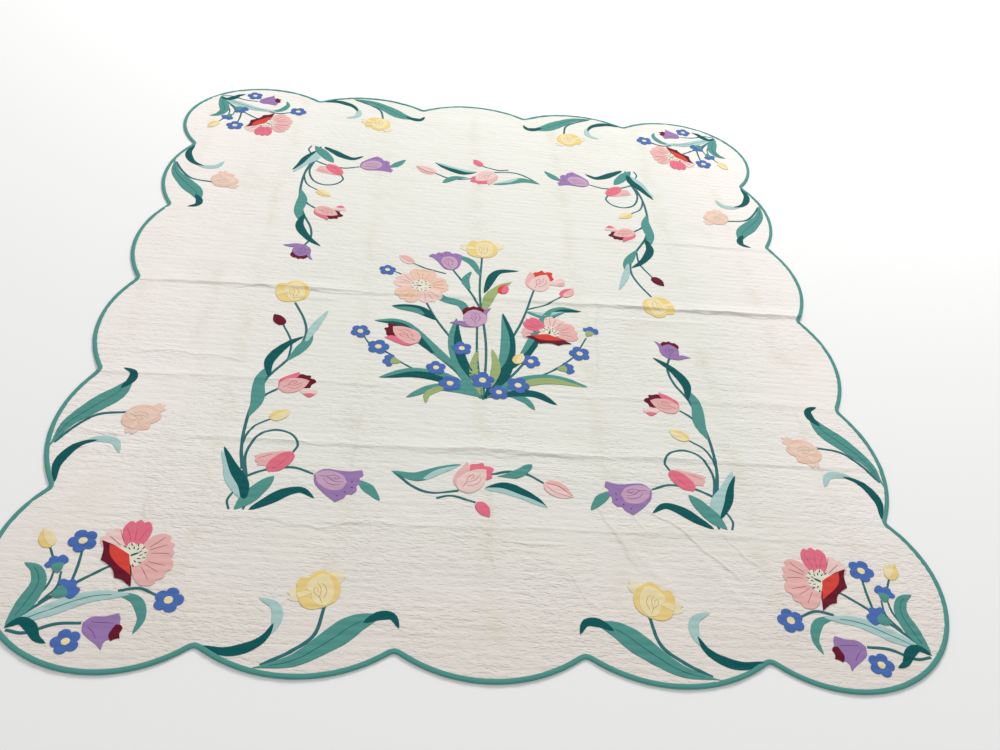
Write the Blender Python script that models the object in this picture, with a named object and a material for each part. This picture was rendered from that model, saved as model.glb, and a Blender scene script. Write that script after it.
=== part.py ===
"""Applique quilt, laid flat: a scalloped quilted sheet, its bound edge and the flower sprays sewn on top.

Metres, +Z up. The origin lies on the floor under the middle of the quilt, X across its width and Y along
its length. The near end is at -Y.
"""
import math
from collections import namedtuple

import bpy

# Outline
LOBE = 0.37               # from valley to valley along the edge
SIDE_LOBES = 4
END_LOBES = 3
SIDE_RISE = 0.053         # how far a side lobe bulges past its valleys
END_RISE = 0.062
HALF_WIDTH = 2.5 * LOBE   # to the valleys of the sides
HALF_LENGTH = 3.0 * LOBE  # to the valleys of the ends
CORNER_RADIUS = 0.262
CORNER_CENTRE = (1.964 * LOBE, 2.464 * LOBE)
LOBE_STEPS = 6
CORNER_STEPS = 12

# Cloth
THICK = 0.004             # top, wadding and backing between two quilting rows
QUILT_DEPTH = 0.0013      # how far a quilting row is drawn in
ROWS_A_LOBE = 18
PITCH = LOBE / ROWS_A_LOBE
CLOTH = 0.001             # one applied cloth with its turned edge
GAP = 0.0003              # between sewn pieces

# Binding
BIND_WIDTH = 0.011
BIND_CLOTH = 0.0009

# Grid of the laid cloth, past the outline on all sides
GRID_ROWS = 58
EDGE_ROW = 53             # rows past this one lie flat under the binding
FADE_ROW = 51             # from here the puffed folds sink towards it
EDGE_COLUMN = 0.905
GRID_HALF_WIDTH = 1.0
FLAT_ENOUGH = 1e-6        # a cell of the grid with less twist than this is one flat face

# Cutters reach this far past the cloth, each a little further than the last
CUTTER_TOP = 0.03
CUTTER_STEP = 0.0005

# Folds across the width: crest and feet in quilting rows from the middle, and the height of the crest
# at the left edge, at a quarter, in the middle, at three quarters and at the right edge.
Across = namedtuple("Across", "crest feet left quarter middle late right")
FOLDS_ACROSS = (
    Across(crest=-39, feet=2, left=0.0, quarter=0.0015, middle=0.0012, late=0.0020, right=0.0),
    Across(crest=-28, feet=2, left=0.0, quarter=0.0022, middle=0.0040, late=0.0036, right=0.0015),
    Across(crest=-18, feet=2, left=0.0030, quarter=0.0022, middle=0.0, late=0.0018, right=0.0028),
    Across(crest=0, feet=2, left=0.0034, quarter=0.0040, middle=0.0024, late=0.0060, right=0.0078),
    Across(crest=17, feet=2, left=0.0, quarter=0.0008, middle=0.0, late=0.0015, right=0.0034),
)

# Folds along the length, once folded one way and the next the other: ridges, with a trough between two.
Along = namedtuple("Along", "crest left_foot right_foot height")
FOLDS_ALONG = (
    Along(crest=-0.62, left_foot=-0.905, right_foot=-0.31, height=0.0022),
    Along(crest=0.00, left_foot=-0.31, right_foot=0.28, height=0.0026),
    Along(crest=0.58, left_foot=0.28, right_foot=0.905, height=0.0030),
)

# Applied cloth
STEM_WIDTH = 0.008
LEAF_SWELL = 0.7          # how fast a leaf widens from its base: a lower power is fuller near the ends
BLOOM_PETALS = 5

Leaf = namedtuple("Leaf", "route width fullest")  # fullest: where it is widest, in shares of its length
Bloom = namedtuple("Bloom", "name kind colour base heading size")
Spray = namedtuple("Spray", "name stems leaves blooms")

COLOURS = {
    "ground": (0.80, 0.79, 0.72),
    "green": (0.09, 0.30, 0.25),
    "pink": (0.80, 0.22, 0.28),
    "pale_pink": (0.83, 0.50, 0.48),
    "peach": (0.86, 0.52, 0.38),
    "yellow": (0.85, 0.62, 0.22),
    "purple": (0.34, 0.18, 0.46),
    "maroon": (0.22, 0.02, 0.06),
}


def clear_scene():
    for obj in list(bpy.data.objects):
        bpy.data.objects.remove(obj, do_unlink=True)


def cloth_material(colour):
    """One plain woven cloth of the named colour."""
    name = "cloth_" + colour
    material = bpy.data.materials.get(name)
    if material:
        return material
    material = bpy.data.materials.new(name)
    material.use_nodes = True
    shader = material.node_tree.nodes["Principled BSDF"]
    shader.inputs["Base Color"].default_value = (*COLOURS[colour], 1.0)
    shader.inputs["Roughness"].default_value = 0.9
    shader.inputs["Metallic"].default_value = 0.0
    return material


def mesh_object(name, points, faces, colour=None):
    mesh = bpy.data.meshes.new(name)
    mesh.from_pydata(points, [], faces)
    obj = bpy.data.objects.new(name, mesh)
    bpy.context.scene.collection.objects.link(obj)
    if colour:
        mesh.materials.append(cloth_material(colour))
    return obj


def make_cutter(obj):
    obj.hide_render = True
    obj.display_type = "WIRE"


def keep_inside(obj, cutter):
    """Keeps only what lies inside the cutter."""
    cut = obj.modifiers.new("inside", "BOOLEAN")
    cut.operation = "INTERSECT"
    cut.solver = "EXACT"
    cut.use_self = True
    cut.object = cutter


# The scalloped outline

def arc(centre, radius, start, end, steps):
    """Points of an arc, without its last one."""
    angles = [start + (end - start) * step / steps for step in range(steps)]
    return [(centre[0] + radius * math.cos(a), centre[1] + radius * math.sin(a)) for a in angles]


def lobe_arc(middle, outward, rise):
    """One scallop between two valleys, its bulge pointing along the angle outward."""
    half = LOBE / 2
    radius = (half * half + rise * rise) / (2 * rise)
    sweep = math.asin(half / radius)
    back = radius - rise
    centre = (middle[0] - back * math.cos(outward), middle[1] - back * math.sin(outward))
    return arc(centre, radius, outward - sweep, outward + sweep, LOBE_STEPS)


def corner_arc(side, end):
    """One rounded corner, in the quarter of the plan given by the signs side and end."""
    start = math.atan2(2 * LOBE - CORNER_CENTRE[1], HALF_WIDTH - CORNER_CENTRE[0])
    finish = math.atan2(HALF_LENGTH - CORNER_CENTRE[1], 1.5 * LOBE - CORNER_CENTRE[0])
    points = arc(CORNER_CENTRE, CORNER_RADIUS, start, finish, CORNER_STEPS)
    points.append((1.5 * LOBE, HALF_LENGTH))
    points[0] = (HALF_WIDTH, 2 * LOBE)
    points = [(side * x, end * y) for x, y in points]
    if side * end < 0:
        points.reverse()
    return points[:-1]


def scalloped_outline():
    """The edge of the quilt, counter-clockwise from the near right corner."""
    side_middles = [(k - (SIDE_LOBES - 1) / 2) * LOBE for k in range(SIDE_LOBES)]
    end_middles = [(k - (END_LOBES - 1) / 2) * LOBE for k in range(END_LOBES)]
    outline = corner_arc(1, -1)
    for y in side_middles:
        outline += lobe_arc((HALF_WIDTH, y), 0.0, SIDE_RISE)
    outline += corner_arc(1, 1)
    for x in reversed(end_middles):
        outline += lobe_arc((x, HALF_LENGTH), math.pi / 2, END_RISE)
    outline += corner_arc(-1, 1)
    for y in reversed(side_middles):
        outline += lobe_arc((-HALF_WIDTH, y), math.pi, SIDE_RISE)
    outline += corner_arc(-1, -1)
    for x in end_middles:
        outline += lobe_arc((x, -HALF_LENGTH), -math.pi / 2, END_RISE)
    return outline


def inset(outline, distance):
    """The outline moved inwards, with a mitre at each corner."""
    moved = []
    count = len(outline)
    for k, (x, y) in enumerate(outline):
        before = outline[k - 1]
        after = outline[(k + 1) % count]
        one = unit((x - before[0], y - before[1]))
        two = unit((after[0] - x, after[1] - y))
        inward = unit((-one[1] - two[1], one[0] + two[0]))
        reach = distance / (inward[0] * -one[1] + inward[1] * one[0])
        moved.append((x + inward[0] * reach, y + inward[1] * reach))
    return moved


def unit(vector):
    length = math.hypot(*vector)
    return vector[0] / length, vector[1] / length


# The laid cloth: fold heights on a coarse grid, with the quilting rows between

def between(values, place):
    """Reads a row of evenly spaced values at a place from 0 to 1."""
    scaled = min(max(place, 0.0), 1.0) * (len(values) - 1)
    left = min(int(scaled), len(values) - 2)
    return values[left] + (values[left + 1] - values[left]) * (scaled - left)


def tent(place, left_foot, crest, right_foot):
    """1 on the crest, falling in a straight line to 0 at either foot."""
    if place <= left_foot or place >= right_foot:
        return 0.0
    if place <= crest:
        return (place - left_foot) / (crest - left_foot)
    return (right_foot - place) / (right_foot - crest)


def grid_columns():
    columns = {-GRID_HALF_WIDTH, -EDGE_COLUMN, EDGE_COLUMN, GRID_HALF_WIDTH}
    for fold in FOLDS_ALONG:
        columns |= {fold.left_foot, fold.crest, fold.right_foot}
    return sorted(columns)


def fold_rows():
    rows = {-GRID_ROWS, -EDGE_ROW, -FADE_ROW, FADE_ROW, EDGE_ROW, GRID_ROWS}
    for fold in FOLDS_ACROSS:
        rows |= {fold.crest - fold.feet, fold.crest, fold.crest + fold.feet}
    return sorted(rows)


def lift_of_folds_across(x, row):
    """How far a crosswise fold holds the whole cloth off the floor."""
    if abs(x) >= EDGE_COLUMN or abs(row) >= EDGE_ROW:
        return 0.0
    place = (x + GRID_HALF_WIDTH) / (2 * GRID_HALF_WIDTH)
    return sum(
        between((fold.left, fold.quarter, fold.middle, fold.late, fold.right), place)
        * tent(row, fold.crest - fold.feet, fold.crest, fold.crest + fold.feet)
        for fold in FOLDS_ACROSS
    )


def puff_of_folds_along(x, row):
    """How far a lengthwise fold puffs up the top of the cloth."""
    fade = min(max((EDGE_ROW - abs(row)) / (EDGE_ROW - FADE_ROW), 0.0), 1.0)
    puff = sum(fold.height * tent(x, fold.left_foot, fold.crest, fold.right_foot) for fold in FOLDS_ALONG)
    return puff * fade


def top_height(x, row):
    """Height of the top cloth on a column, between two quilting rows. It runs straight between fold rows."""
    rows = fold_rows()
    upper = next(r for r in rows if r >= row)
    lower = max(r for r in rows if r <= row)
    ends = [THICK + lift_of_folds_across(x, r) + puff_of_folds_along(x, r) for r in (lower, upper)]
    if lower == upper:
        return ends[0]
    return ends[0] + (ends[1] - ends[0]) * (row - lower) / (upper - lower)


def quilted_lines():
    """Half rows from the near end: whole ones are crests, the others are drawn in by the stitches."""
    return [half / 2 for half in range(-2 * GRID_ROWS, 2 * GRID_ROWS + 1)]


def quilted_point(x, row):
    """A point of the quilted top."""
    drawn_in = 0.0 if row == int(row) else QUILT_DEPTH
    return x, row * PITCH, top_height(x, row) - drawn_in


def layered_block(columns, top_rows, top_point, bottom_rows, bottom_point):
    """A closed block whose top and bottom are grids on the same columns, each with its own rows."""
    points = [top_point(x, row) for row in top_rows for x in columns]
    start = len(points)
    points += [bottom_point(x, row) for row in bottom_rows for x in columns]
    wide = len(columns)
    faces = []

    def grid_faces(first, rows, upward):
        for j in range(len(rows) - 1):
            for i in range(wide - 1):
                a = first + j * wide + i
                b, c, d = a + 1, a + wide + 1, a + wide
                twist = points[a][2] + points[c][2] - points[b][2] - points[d][2]
                if abs(twist) < FLAT_ENOUGH:
                    parts = [(a, b, c, d)]
                elif twist > 0:
                    parts = [(a, b, c), (a, c, d)]
                else:
                    parts = [(a, b, d), (b, c, d)]
                faces.extend(parts if upward else [face[::-1] for face in parts])

    grid_faces(0, top_rows, True)
    grid_faces(start, bottom_rows, False)
    for row_start, top_start, turn in ((start, 0, False), (len(points) - wide, start - wide, True)):
        for i in range(wide - 1):
            face = (row_start + i, row_start + i + 1, top_start + i + 1, top_start + i)
            faces.append(face[::-1] if turn else face)
    for column, turn in ((0, True), (wide - 1, False)):
        lower = [start + j * wide + column for j in range(len(bottom_rows))]
        upper = [j * wide + column for j in range(len(top_rows))]
        face = tuple(lower + upper[::-1])
        faces.append(face[::-1] if turn else face)
    return points, faces


def stepped_cutter(outline):
    """What the quilt keeps: a wall inside the binding, cut back below to leave room for its under arm."""
    step = BIND_CLOTH + GAP
    wall = inset(outline, step)
    foot = inset(outline, BIND_WIDTH + GAP)
    rings = (
        [(x, y, -CUTTER_TOP) for x, y in foot],
        [(x, y, step) for x, y in foot],
        [(x, y, step) for x, y in wall],
        [(x, y, CUTTER_TOP) for x, y in wall],
    )
    return ring_tube(rings, capped=True)


def ring_tube(rings, capped):
    """Joins rings of points from the bottom up, outward faces first. Uncapped rings close on themselves."""
    count = len(rings[0])
    points = [point for ring in rings for point in ring]
    faces = []
    for k in range(len(rings) - (1 if capped else 0)):
        low = k * count
        high = (k + 1) % len(rings) * count
        for i in range(count):
            j = (i + 1) % count
            faces.append((low + i, low + j, high + j, high + i))
    if capped:
        faces.append(tuple(range(count))[::-1])
        faces.append(tuple(range((len(rings) - 1) * count, len(rings) * count)))
    return points, faces


def make_quilt(outline):
    """The quilted sheet, cut to the scallops. Its underside lifts only where a fold crosses the width."""
    columns = grid_columns()
    points, faces = layered_block(
        columns,
        quilted_lines(),
        quilted_point,
        fold_rows(),
        lambda x, row: (x, row * PITCH, lift_of_folds_across(x, row)),
    )
    quilt = mesh_object("quilt", points, faces, "ground")
    cutter = mesh_object("cut_scallops", *stepped_cutter(outline))
    make_cutter(cutter)
    keep_inside(quilt, cutter)


def make_binding(outline):
    """A folded strip round the edge: under arm, outer wall and upper arm, mitred in each valley."""
    top = THICK + GAP + BIND_CLOTH
    section = (
        (BIND_WIDTH, 0.0),
        (0.0, 0.0),
        (0.0, top),
        (BIND_WIDTH, top),
        (BIND_WIDTH, top - BIND_CLOTH),
        (BIND_CLOTH, top - BIND_CLOTH),
        (BIND_CLOTH, BIND_CLOTH),
        (BIND_WIDTH, BIND_CLOTH),
    )
    rings = [[(x, y, height) for x, y in inset(outline, depth)] for depth, height in section]
    mesh_object("binding", *ring_tube(rings, capped=False), "green")


# Flat shapes of the applied cloth, as outlines in a spray's own plan

def strip_sides(points, half_widths):
    """The right and the left side of a strip round a line of points, of the given half width at each."""
    left, right = [], []
    for k, (x, y) in enumerate(points):
        before = points[max(k - 1, 0)]
        after = points[min(k + 1, len(points) - 1)]
        ahead = unit((after[0] - before[0], after[1] - before[1]))
        half = half_widths[k]
        left.append((x - ahead[1] * half, y + ahead[0] * half))
        right.append((x + ahead[1] * half, y - ahead[0] * half))
    return right, left


def stem_outline(route):
    right, left = strip_sides(route, [STEM_WIDTH / 2] * len(route))
    return right + left[::-1]


def leaf_outline(leaf):
    """A strap leaf round its middle line, pointed at both ends."""
    lengths = [math.dist(a, b) for a, b in zip(leaf.route, leaf.route[1:])]
    power = math.log(0.5) / math.log(leaf.fullest)
    halves = [0.0]
    for k in range(1, len(lengths)):
        share = sum(lengths[:k]) / sum(lengths)
        halves.append(leaf.width / 2 * math.sin(math.pi * share ** power) ** LEAF_SWELL)
    halves.append(0.0)
    right, left = strip_sides(leaf.route, halves)
    return right + left[-2:0:-1]


def tulip_outline(bloom):
    """A cup with a point at either side and one in the middle, growing from its base."""
    half = ((0.0, 0.12), (0.17, 0.33), (0.55, 0.40), (0.95, 0.44), (0.76, 0.18))
    profile = list(half) + [(1.0, 0.0)] + [(u, -v) for u, v in reversed(half)]
    turn = math.radians(bloom.heading)
    return [
        (
            bloom.base[0] + bloom.size * (u * math.cos(turn) + v * math.sin(turn)),
            bloom.base[1] + bloom.size * (u * math.sin(turn) - v * math.cos(turn)),
        )
        for u, v in profile
    ]


def open_outline(bloom):
    """An open flower of rounded petals. Its base is its middle, and its size is its radius."""
    petal = ((0.0, 0.80), (0.28, 1.0), (0.72, 1.0))
    outline = []
    for k in range(BLOOM_PETALS):
        for share, reach in petal:
            angle = math.radians(bloom.heading) + 2 * math.pi * (k + share) / BLOOM_PETALS
            outline.append((
                bloom.base[0] + bloom.size * reach * math.cos(angle),
                bloom.base[1] + bloom.size * reach * math.sin(angle),
            ))
    return outline


SHAPES = {"tulip": tulip_outline, "open": open_outline}


# The sprays, each drawn once. Corner sprays and garlands are drawn for the far right quarter.

CORNER = Spray(
    name="corner",
    stems=(
        ((0.892, 1.072), (0.850, 1.022), (0.815, 0.990), (0.7850, 0.9635)),
        ((0.892, 1.074), (0.860, 1.092), (0.810, 1.078), (0.7670, 1.0775)),
    ),
    leaves=(
        Leaf(route=((0.893, 1.070), (0.880, 1.030), (0.873, 0.985), (0.888, 0.953), (0.912, 0.938)),
             width=0.036, fullest=0.45),
        Leaf(route=((0.890, 1.068), (0.835, 1.044), (0.770, 1.012), (0.700, 1.004)),
             width=0.030, fullest=0.50),
        Leaf(route=((0.712, 1.0045), (0.678, 1.022), (0.664, 1.056), (0.671, 1.088)),
             width=0.022, fullest=0.45),
        Leaf(route=((0.890, 1.076), (0.870, 1.080), (0.850, 1.096), (0.822, 1.112)),
             width=0.024, fullest=0.50),
    ),
    blooms=(
        Bloom(name="bloom", kind="open", colour="pale_pink", base=(0.713, 0.911), heading=20, size=0.083),
        Bloom(name="tulip", kind="tulip", colour="purple", base=(0.7645, 1.077), heading=172, size=0.078),
    ),
)

# Drawn with its first axis along the edge, away from the nearest corner, and its second one inwards.
LOBE_SPRAY = Spray(
    name="lobe",
    stems=(
        ((-0.078, -0.026), (0.000, -0.014), (0.036, 0.030), (0.0435, 0.0880)),
        ((-0.128, -0.010), (-0.100, -0.018), (-0.076, -0.025)),
    ),
    leaves=(
        Leaf(route=((-0.078, -0.026), (0.000, -0.020), (0.068, 0.022), (0.120, 0.062), (0.152, 0.074)),
             width=0.048, fullest=0.60),
        Leaf(route=((0.138, 0.068), (0.163, 0.080), (0.182, 0.074), (0.191, 0.056)),
             width=0.024, fullest=0.45),
        Leaf(route=((-0.158, 0.003), (-0.120, -0.006), (-0.080, 0.004), (-0.053, 0.032), (-0.043, 0.068),
                    (-0.054, 0.097), (-0.080, 0.109)),
             width=0.025, fullest=0.45),
    ),
    blooms=(
        Bloom(name="tulip", kind="tulip", colour="yellow", base=(0.043, 0.092), heading=105, size=0.092),
    ),
)

GARLAND_LEAVES = (
    Leaf(route=((0.550, 0.500), (0.545, 0.440), (0.543, 0.385), (0.533, 0.326)),
         width=0.036, fullest=0.50),
    Leaf(route=((0.526, 0.362), (0.533, 0.300), (0.500, 0.245), (0.462, 0.206)),
         width=0.025, fullest=0.45),
    Leaf(route=((0.537, 0.742), (0.561, 0.673), (0.589, 0.612)),
         width=0.036, fullest=0.45),
    Leaf(route=((0.540, 0.772), (0.502, 0.733), (0.472, 0.694)),
         width=0.034, fullest=0.50),
    Leaf(route=((0.541, 0.776), (0.490, 0.770), (0.445, 0.737), (0.406, 0.722), (0.375, 0.742)),
         width=0.026, fullest=0.50),
)
GARLAND_VINE = ((0.543, 0.780), (0.530, 0.690), (0.554, 0.590), (0.551, 0.480), (0.531, 0.377))
GARLAND_BRANCHES = (
    ((0.531, 0.706), (0.480, 0.695), (0.440, 0.688), (0.3835, 0.6750)),
    ((0.553, 0.600), (0.521, 0.563), (0.486, 0.544), (0.448, 0.554), (0.429, 0.585), (0.4360, 0.6080)),
    ((0.551, 0.476), (0.525, 0.430), (0.4980, 0.4045)),
)
GARLAND_BLOOMS = (
    Bloom(name="side_tulip", kind="tulip", colour="purple", base=(0.381, 0.6740), heading=187, size=0.098),
    Bloom(name="inner_tulip", kind="tulip", colour="pink", base=(0.4370, 0.6100), heading=51, size=0.066),
)
GARLAND_SHORT = Spray(
    name="garland",
    stems=(GARLAND_VINE + ((0.500, 0.300), (0.493, 0.245), (0.5055, 0.2080)),) + GARLAND_BRANCHES,
    leaves=GARLAND_LEAVES,
    blooms=GARLAND_BLOOMS + (
        Bloom(name="end_tulip", kind="tulip", colour="maroon", base=(0.506, 0.2065), heading=282, size=0.085),
    ),
)
GARLAND_LONG = Spray(
    name="garland",
    stems=(
        GARLAND_VINE + ((0.488, 0.295), (0.464, 0.240), (0.456, 0.185), (0.469, 0.130), (0.4985, 0.0640)),
        ((0.488, 0.296), (0.489, 0.229), (0.516, 0.163)),
    ) + GARLAND_BRANCHES,
    leaves=GARLAND_LEAVES + (
        Leaf(route=((0.487, 0.292), (0.462, 0.250), (0.443, 0.190), (0.409, 0.093)),
             width=0.027, fullest=0.50),
    ),
    blooms=GARLAND_BLOOMS + (
        Bloom(name="end_tulip", kind="tulip", colour="yellow", base=(0.499, 0.0625), heading=282, size=0.095),
    ),
)

# Drawn for the near end.
SPRIG = Spray(
    name="sprig",
    stems=(
        ((-0.206, -0.656), (-0.163, -0.696), (-0.122, -0.714), (-0.070, -0.7240), (-0.022, -0.7215),
         (0.012, -0.705), (0.048, -0.688), (0.096, -0.655), (0.133, -0.669)),
    ),
    leaves=(
        Leaf(route=((-0.207, -0.655), (-0.157, -0.666), (-0.100, -0.640), (-0.062, -0.626)),
             width=0.026, fullest=0.50),
        Leaf(route=((0.052, -0.684), (0.075, -0.643), (0.107, -0.613)),
             width=0.024, fullest=0.60),
        Leaf(route=((0.012, -0.706), (0.050, -0.695), (0.092, -0.710), (0.135, -0.739)),
             width=0.028, fullest=0.45),
    ),
    blooms=(
        Bloom(name="tulip", kind="tulip", colour="pale_pink", base=(-0.062, -0.7025), heading=48, size=0.095),
    ),
)

BOUQUET = Spray(
    name="bouquet",
    stems=(
        ((0.000, -0.405), (0.012, -0.200), (0.000, 0.020), (0.010, 0.1985)),
        ((0.000, -0.400), (-0.060, -0.220), (-0.120, -0.100), (-0.148, -0.038)),
        ((0.005, -0.400), (0.060, -0.220), (0.115, -0.080), (0.1542, 0.0586)),
        ((0.004, -0.050), (-0.035, 0.050), (-0.0745, 0.1286)),
        ((0.005, -0.400), (0.090, -0.290), (0.1430, -0.1930)),
        ((-0.005, -0.400), (-0.080, -0.290), (-0.1637, -0.2008)),
    ),
    leaves=(
        Leaf(route=((-0.004, -0.400), (-0.054, -0.280), (-0.070, -0.180), (-0.066, -0.095)),
             width=0.040, fullest=0.45),
        Leaf(route=((0.004, -0.400), (0.056, -0.290), (0.072, -0.170), (0.064, -0.060)),
             width=0.040, fullest=0.45),
        Leaf(route=((-0.006, -0.398), (-0.090, -0.336), (-0.175, -0.318), (-0.258, -0.340)),
             width=0.036, fullest=0.50),
        Leaf(route=((0.006, -0.398), (0.092, -0.336), (0.180, -0.314), (0.268, -0.332)),
             width=0.036, fullest=0.50),
        Leaf(route=((0.006, -0.060), (0.030, 0.020), (0.060, 0.065), (0.092, 0.090)),
             width=0.027, fullest=0.50),
        Leaf(route=((-0.118, -0.104), (-0.168, -0.062), (-0.240, -0.052)),
             width=0.030, fullest=0.50),
    ),
    blooms=(
        Bloom(name="top_tulip", kind="tulip", colour="yellow", base=(0.010, 0.200), heading=90, size=0.100),
        Bloom(name="left_bloom", kind="open", colour="pale_pink",
              base=(-0.165, 0.045), heading=10, size=0.078),
        Bloom(name="right_tulip", kind="tulip", colour="pink", base=(0.155, 0.060), heading=60, size=0.095),
        Bloom(name="upper_tulip", kind="tulip", colour="purple",
              base=(-0.075, 0.130), heading=110, size=0.085),
        Bloom(name="low_bloom", kind="open", colour="pink", base=(0.185, -0.130), heading=40, size=0.070),
        Bloom(name="low_tulip", kind="tulip", colour="peach",
              base=(-0.165, -0.200), heading=150, size=0.090),
    ),
)

# Where each spray lies: the point its plan starts from, and its two axes in the quilt's plan.
Place = namedtuple("Place", "origin first second")


def quarters():
    """The four quarters of the plan, with the name and signs of each."""
    for end, end_name in ((-1, "near"), (1, "far")):
        for side, side_name in ((-1, "left"), (1, "right")):
            yield f"{end_name}_{side_name}", side, end


def placed(outline, place):
    """An outline moved from its spray's plan to the quilt's, and turned counter-clockwise."""
    moved = [
        (
            place.origin[0] + place.first[0] * u + place.second[0] * v,
            place.origin[1] + place.first[1] * u + place.second[1] * v,
        )
        for u, v in outline
    ]
    area = sum(a[0] * b[1] - b[0] * a[1] for a, b in zip(moved, moved[1:] + moved[:1]))
    return moved if area > 0 else moved[::-1]


def upright_prisms(outlines):
    """One mesh of upright prisms, each a little taller than the last so that no two ends share a plane."""
    points, faces = [], []
    for k, outline in enumerate(outlines):
        first = len(points)
        count = len(outline)
        spare = CUTTER_STEP * (k + 1)
        points += [(x, y, -spare) for x, y in outline]
        points += [(x, y, CUTTER_TOP + spare) for x, y in outline]
        for i in range(count):
            j = (i + 1) % count
            faces.append((first + i, first + j, first + count + j, first + count + i))
        faces.append(tuple(range(first, first + count))[::-1])
        faces.append(tuple(range(first + count, first + 2 * count)))
    return points, faces


def make_cloth_layer():
    """The thin layer that applied cloth fills, just above the quilted top and folded with it."""

    def layer_point(rise):
        return lambda x, row: (x, row * PITCH, top_height(x, row) + rise)

    points, faces = layered_block(
        grid_columns(), fold_rows(), layer_point(GAP + CLOTH), fold_rows(), layer_point(GAP))
    layer = mesh_object("cloth_layer", points, faces)
    make_cutter(layer)
    return layer


def sew_piece(name, outlines, colour, layer):
    piece = mesh_object(name, *upright_prisms(outlines), colour)
    keep_inside(piece, layer)


def sew_spray(spray, where, place, layer, tulip_colour=None):
    """One spray: its stems and leaves as one piece, and each large flower as another."""
    shapes = [stem_outline(route) for route in spray.stems] + [leaf_outline(leaf) for leaf in spray.leaves]
    ending = f"_{where}" if where else ""
    sew_piece(f"{spray.name}_leaves{ending}", [placed(s, place) for s in shapes], "green", layer)
    for bloom in spray.blooms:
        outline = placed(SHAPES[bloom.kind](bloom), place)
        colour = tulip_colour or bloom.colour
        sew_piece(f"{spray.name}_{bloom.name}{ending}", [outline], colour, layer)


def sew_applique(layer):
    for where, side, end in quarters():
        quarter = Place(origin=(0, 0), first=(side, 0), second=(0, end))
        sew_spray(CORNER, where, quarter, layer)
        garland = GARLAND_LONG if side * end > 0 else GARLAND_SHORT
        sew_spray(garland, where, quarter, layer)
        end_lobe = Place(origin=(side * LOBE, end * HALF_LENGTH), first=(-side, 0), second=(0, -end))
        sew_spray(LOBE_SPRAY._replace(name="end_lobe"), where, end_lobe, layer)
        side_lobe = Place(origin=(side * HALF_WIDTH, end * 1.5 * LOBE), first=(0, -end), second=(-side, 0))
        sew_spray(LOBE_SPRAY._replace(name="side_lobe"), where, side_lobe, layer, tulip_colour="peach")
    sew_spray(SPRIG, "near", Place(origin=(0, 0), first=(1, 0), second=(0, 1)), layer)
    sew_spray(SPRIG, "far", Place(origin=(0, 0), first=(-1, 0), second=(0, -1)), layer)
    sew_spray(BOUQUET, "", Place(origin=(0, 0), first=(1, 0), second=(0, 1)), layer)


def main():
    clear_scene()
    outline = scalloped_outline()
    make_quilt(outline)
    make_binding(outline)
    sew_applique(make_cloth_layer())


main()
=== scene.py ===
# %% [markdown]
# # An applique quilt, laid flat
# A quilt like this one is a sandwich of three layers: a pale cotton top, a thin wadding and a backing.
# Rows of small stitches hold the layers together and pucker the top. Flowers and leaves are cut from
# coloured cotton and sewn on flat, and a folded strip binds the scalloped edge.
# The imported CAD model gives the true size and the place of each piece. This lesson dresses it: each soft
# CAD solid is replaced by a finer piece of cloth that lies in the same place.

import math
from collections import namedtuple

import bpy
import numpy as np
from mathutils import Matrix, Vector
from mathutils.geometry import delaunay_2d_cdt


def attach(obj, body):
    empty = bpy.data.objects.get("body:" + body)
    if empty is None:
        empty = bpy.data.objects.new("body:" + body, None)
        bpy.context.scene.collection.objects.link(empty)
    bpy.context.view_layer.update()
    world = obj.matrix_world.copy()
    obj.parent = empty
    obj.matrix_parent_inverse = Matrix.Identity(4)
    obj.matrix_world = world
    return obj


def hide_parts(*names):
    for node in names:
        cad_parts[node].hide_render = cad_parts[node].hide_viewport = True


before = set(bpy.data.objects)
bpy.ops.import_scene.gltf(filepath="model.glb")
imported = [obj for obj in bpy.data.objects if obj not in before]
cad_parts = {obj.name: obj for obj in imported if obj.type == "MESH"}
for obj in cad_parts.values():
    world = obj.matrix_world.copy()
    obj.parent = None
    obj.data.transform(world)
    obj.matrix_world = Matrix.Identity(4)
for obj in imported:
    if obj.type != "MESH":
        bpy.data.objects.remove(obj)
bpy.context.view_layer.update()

# %% [markdown]
# ## Camera, floor and light
# The photograph looks down on the quilt from the near end, a little to the left and slightly rolled. The
# camera was found by matching the corners and scallops of the real outline to the flat plan, which is
# more reliable than turning it by eye. The floor is plain and pale. One very large lamp beyond the far
# end, a little to the right, gives soft shade on the near side of each pucker, and a pale world fills the
# rest in.

# %% Camera
CAMERA_PLACE = (-0.1951, -2.0911, 1.6006)
CAMERA_TURN = (48.111, -6.3294, -2.0381)
LENS = 33.95

camera_data = bpy.data.cameras.new("camera")
camera_data.lens = LENS
camera = bpy.data.objects.new("camera", camera_data)
camera.location = CAMERA_PLACE
camera.rotation_euler = [math.radians(angle) for angle in CAMERA_TURN]
bpy.context.scene.collection.objects.link(camera)
bpy.context.scene.camera = camera
print("camera with a lens of", LENS, "mm,", CAMERA_PLACE[2], "m above the floor")

# %% Light and colour management
scene = bpy.context.scene
scene.view_settings.view_transform = "Standard"
ROOM_COLOUR = (1.0, 0.995, 0.985, 1.0)
WORLD_LIGHT = 0.56
KEY_PLACE = (1.5, 5.3, 4.0)
KEY_SIZE = 2.2
KEY_POWER = 310.0

world = bpy.data.worlds.new("pale room")
world.use_nodes = True
world.node_tree.nodes["Background"].inputs["Color"].default_value = ROOM_COLOUR
world.node_tree.nodes["Background"].inputs["Strength"].default_value = WORLD_LIGHT
scene.world = world


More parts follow.
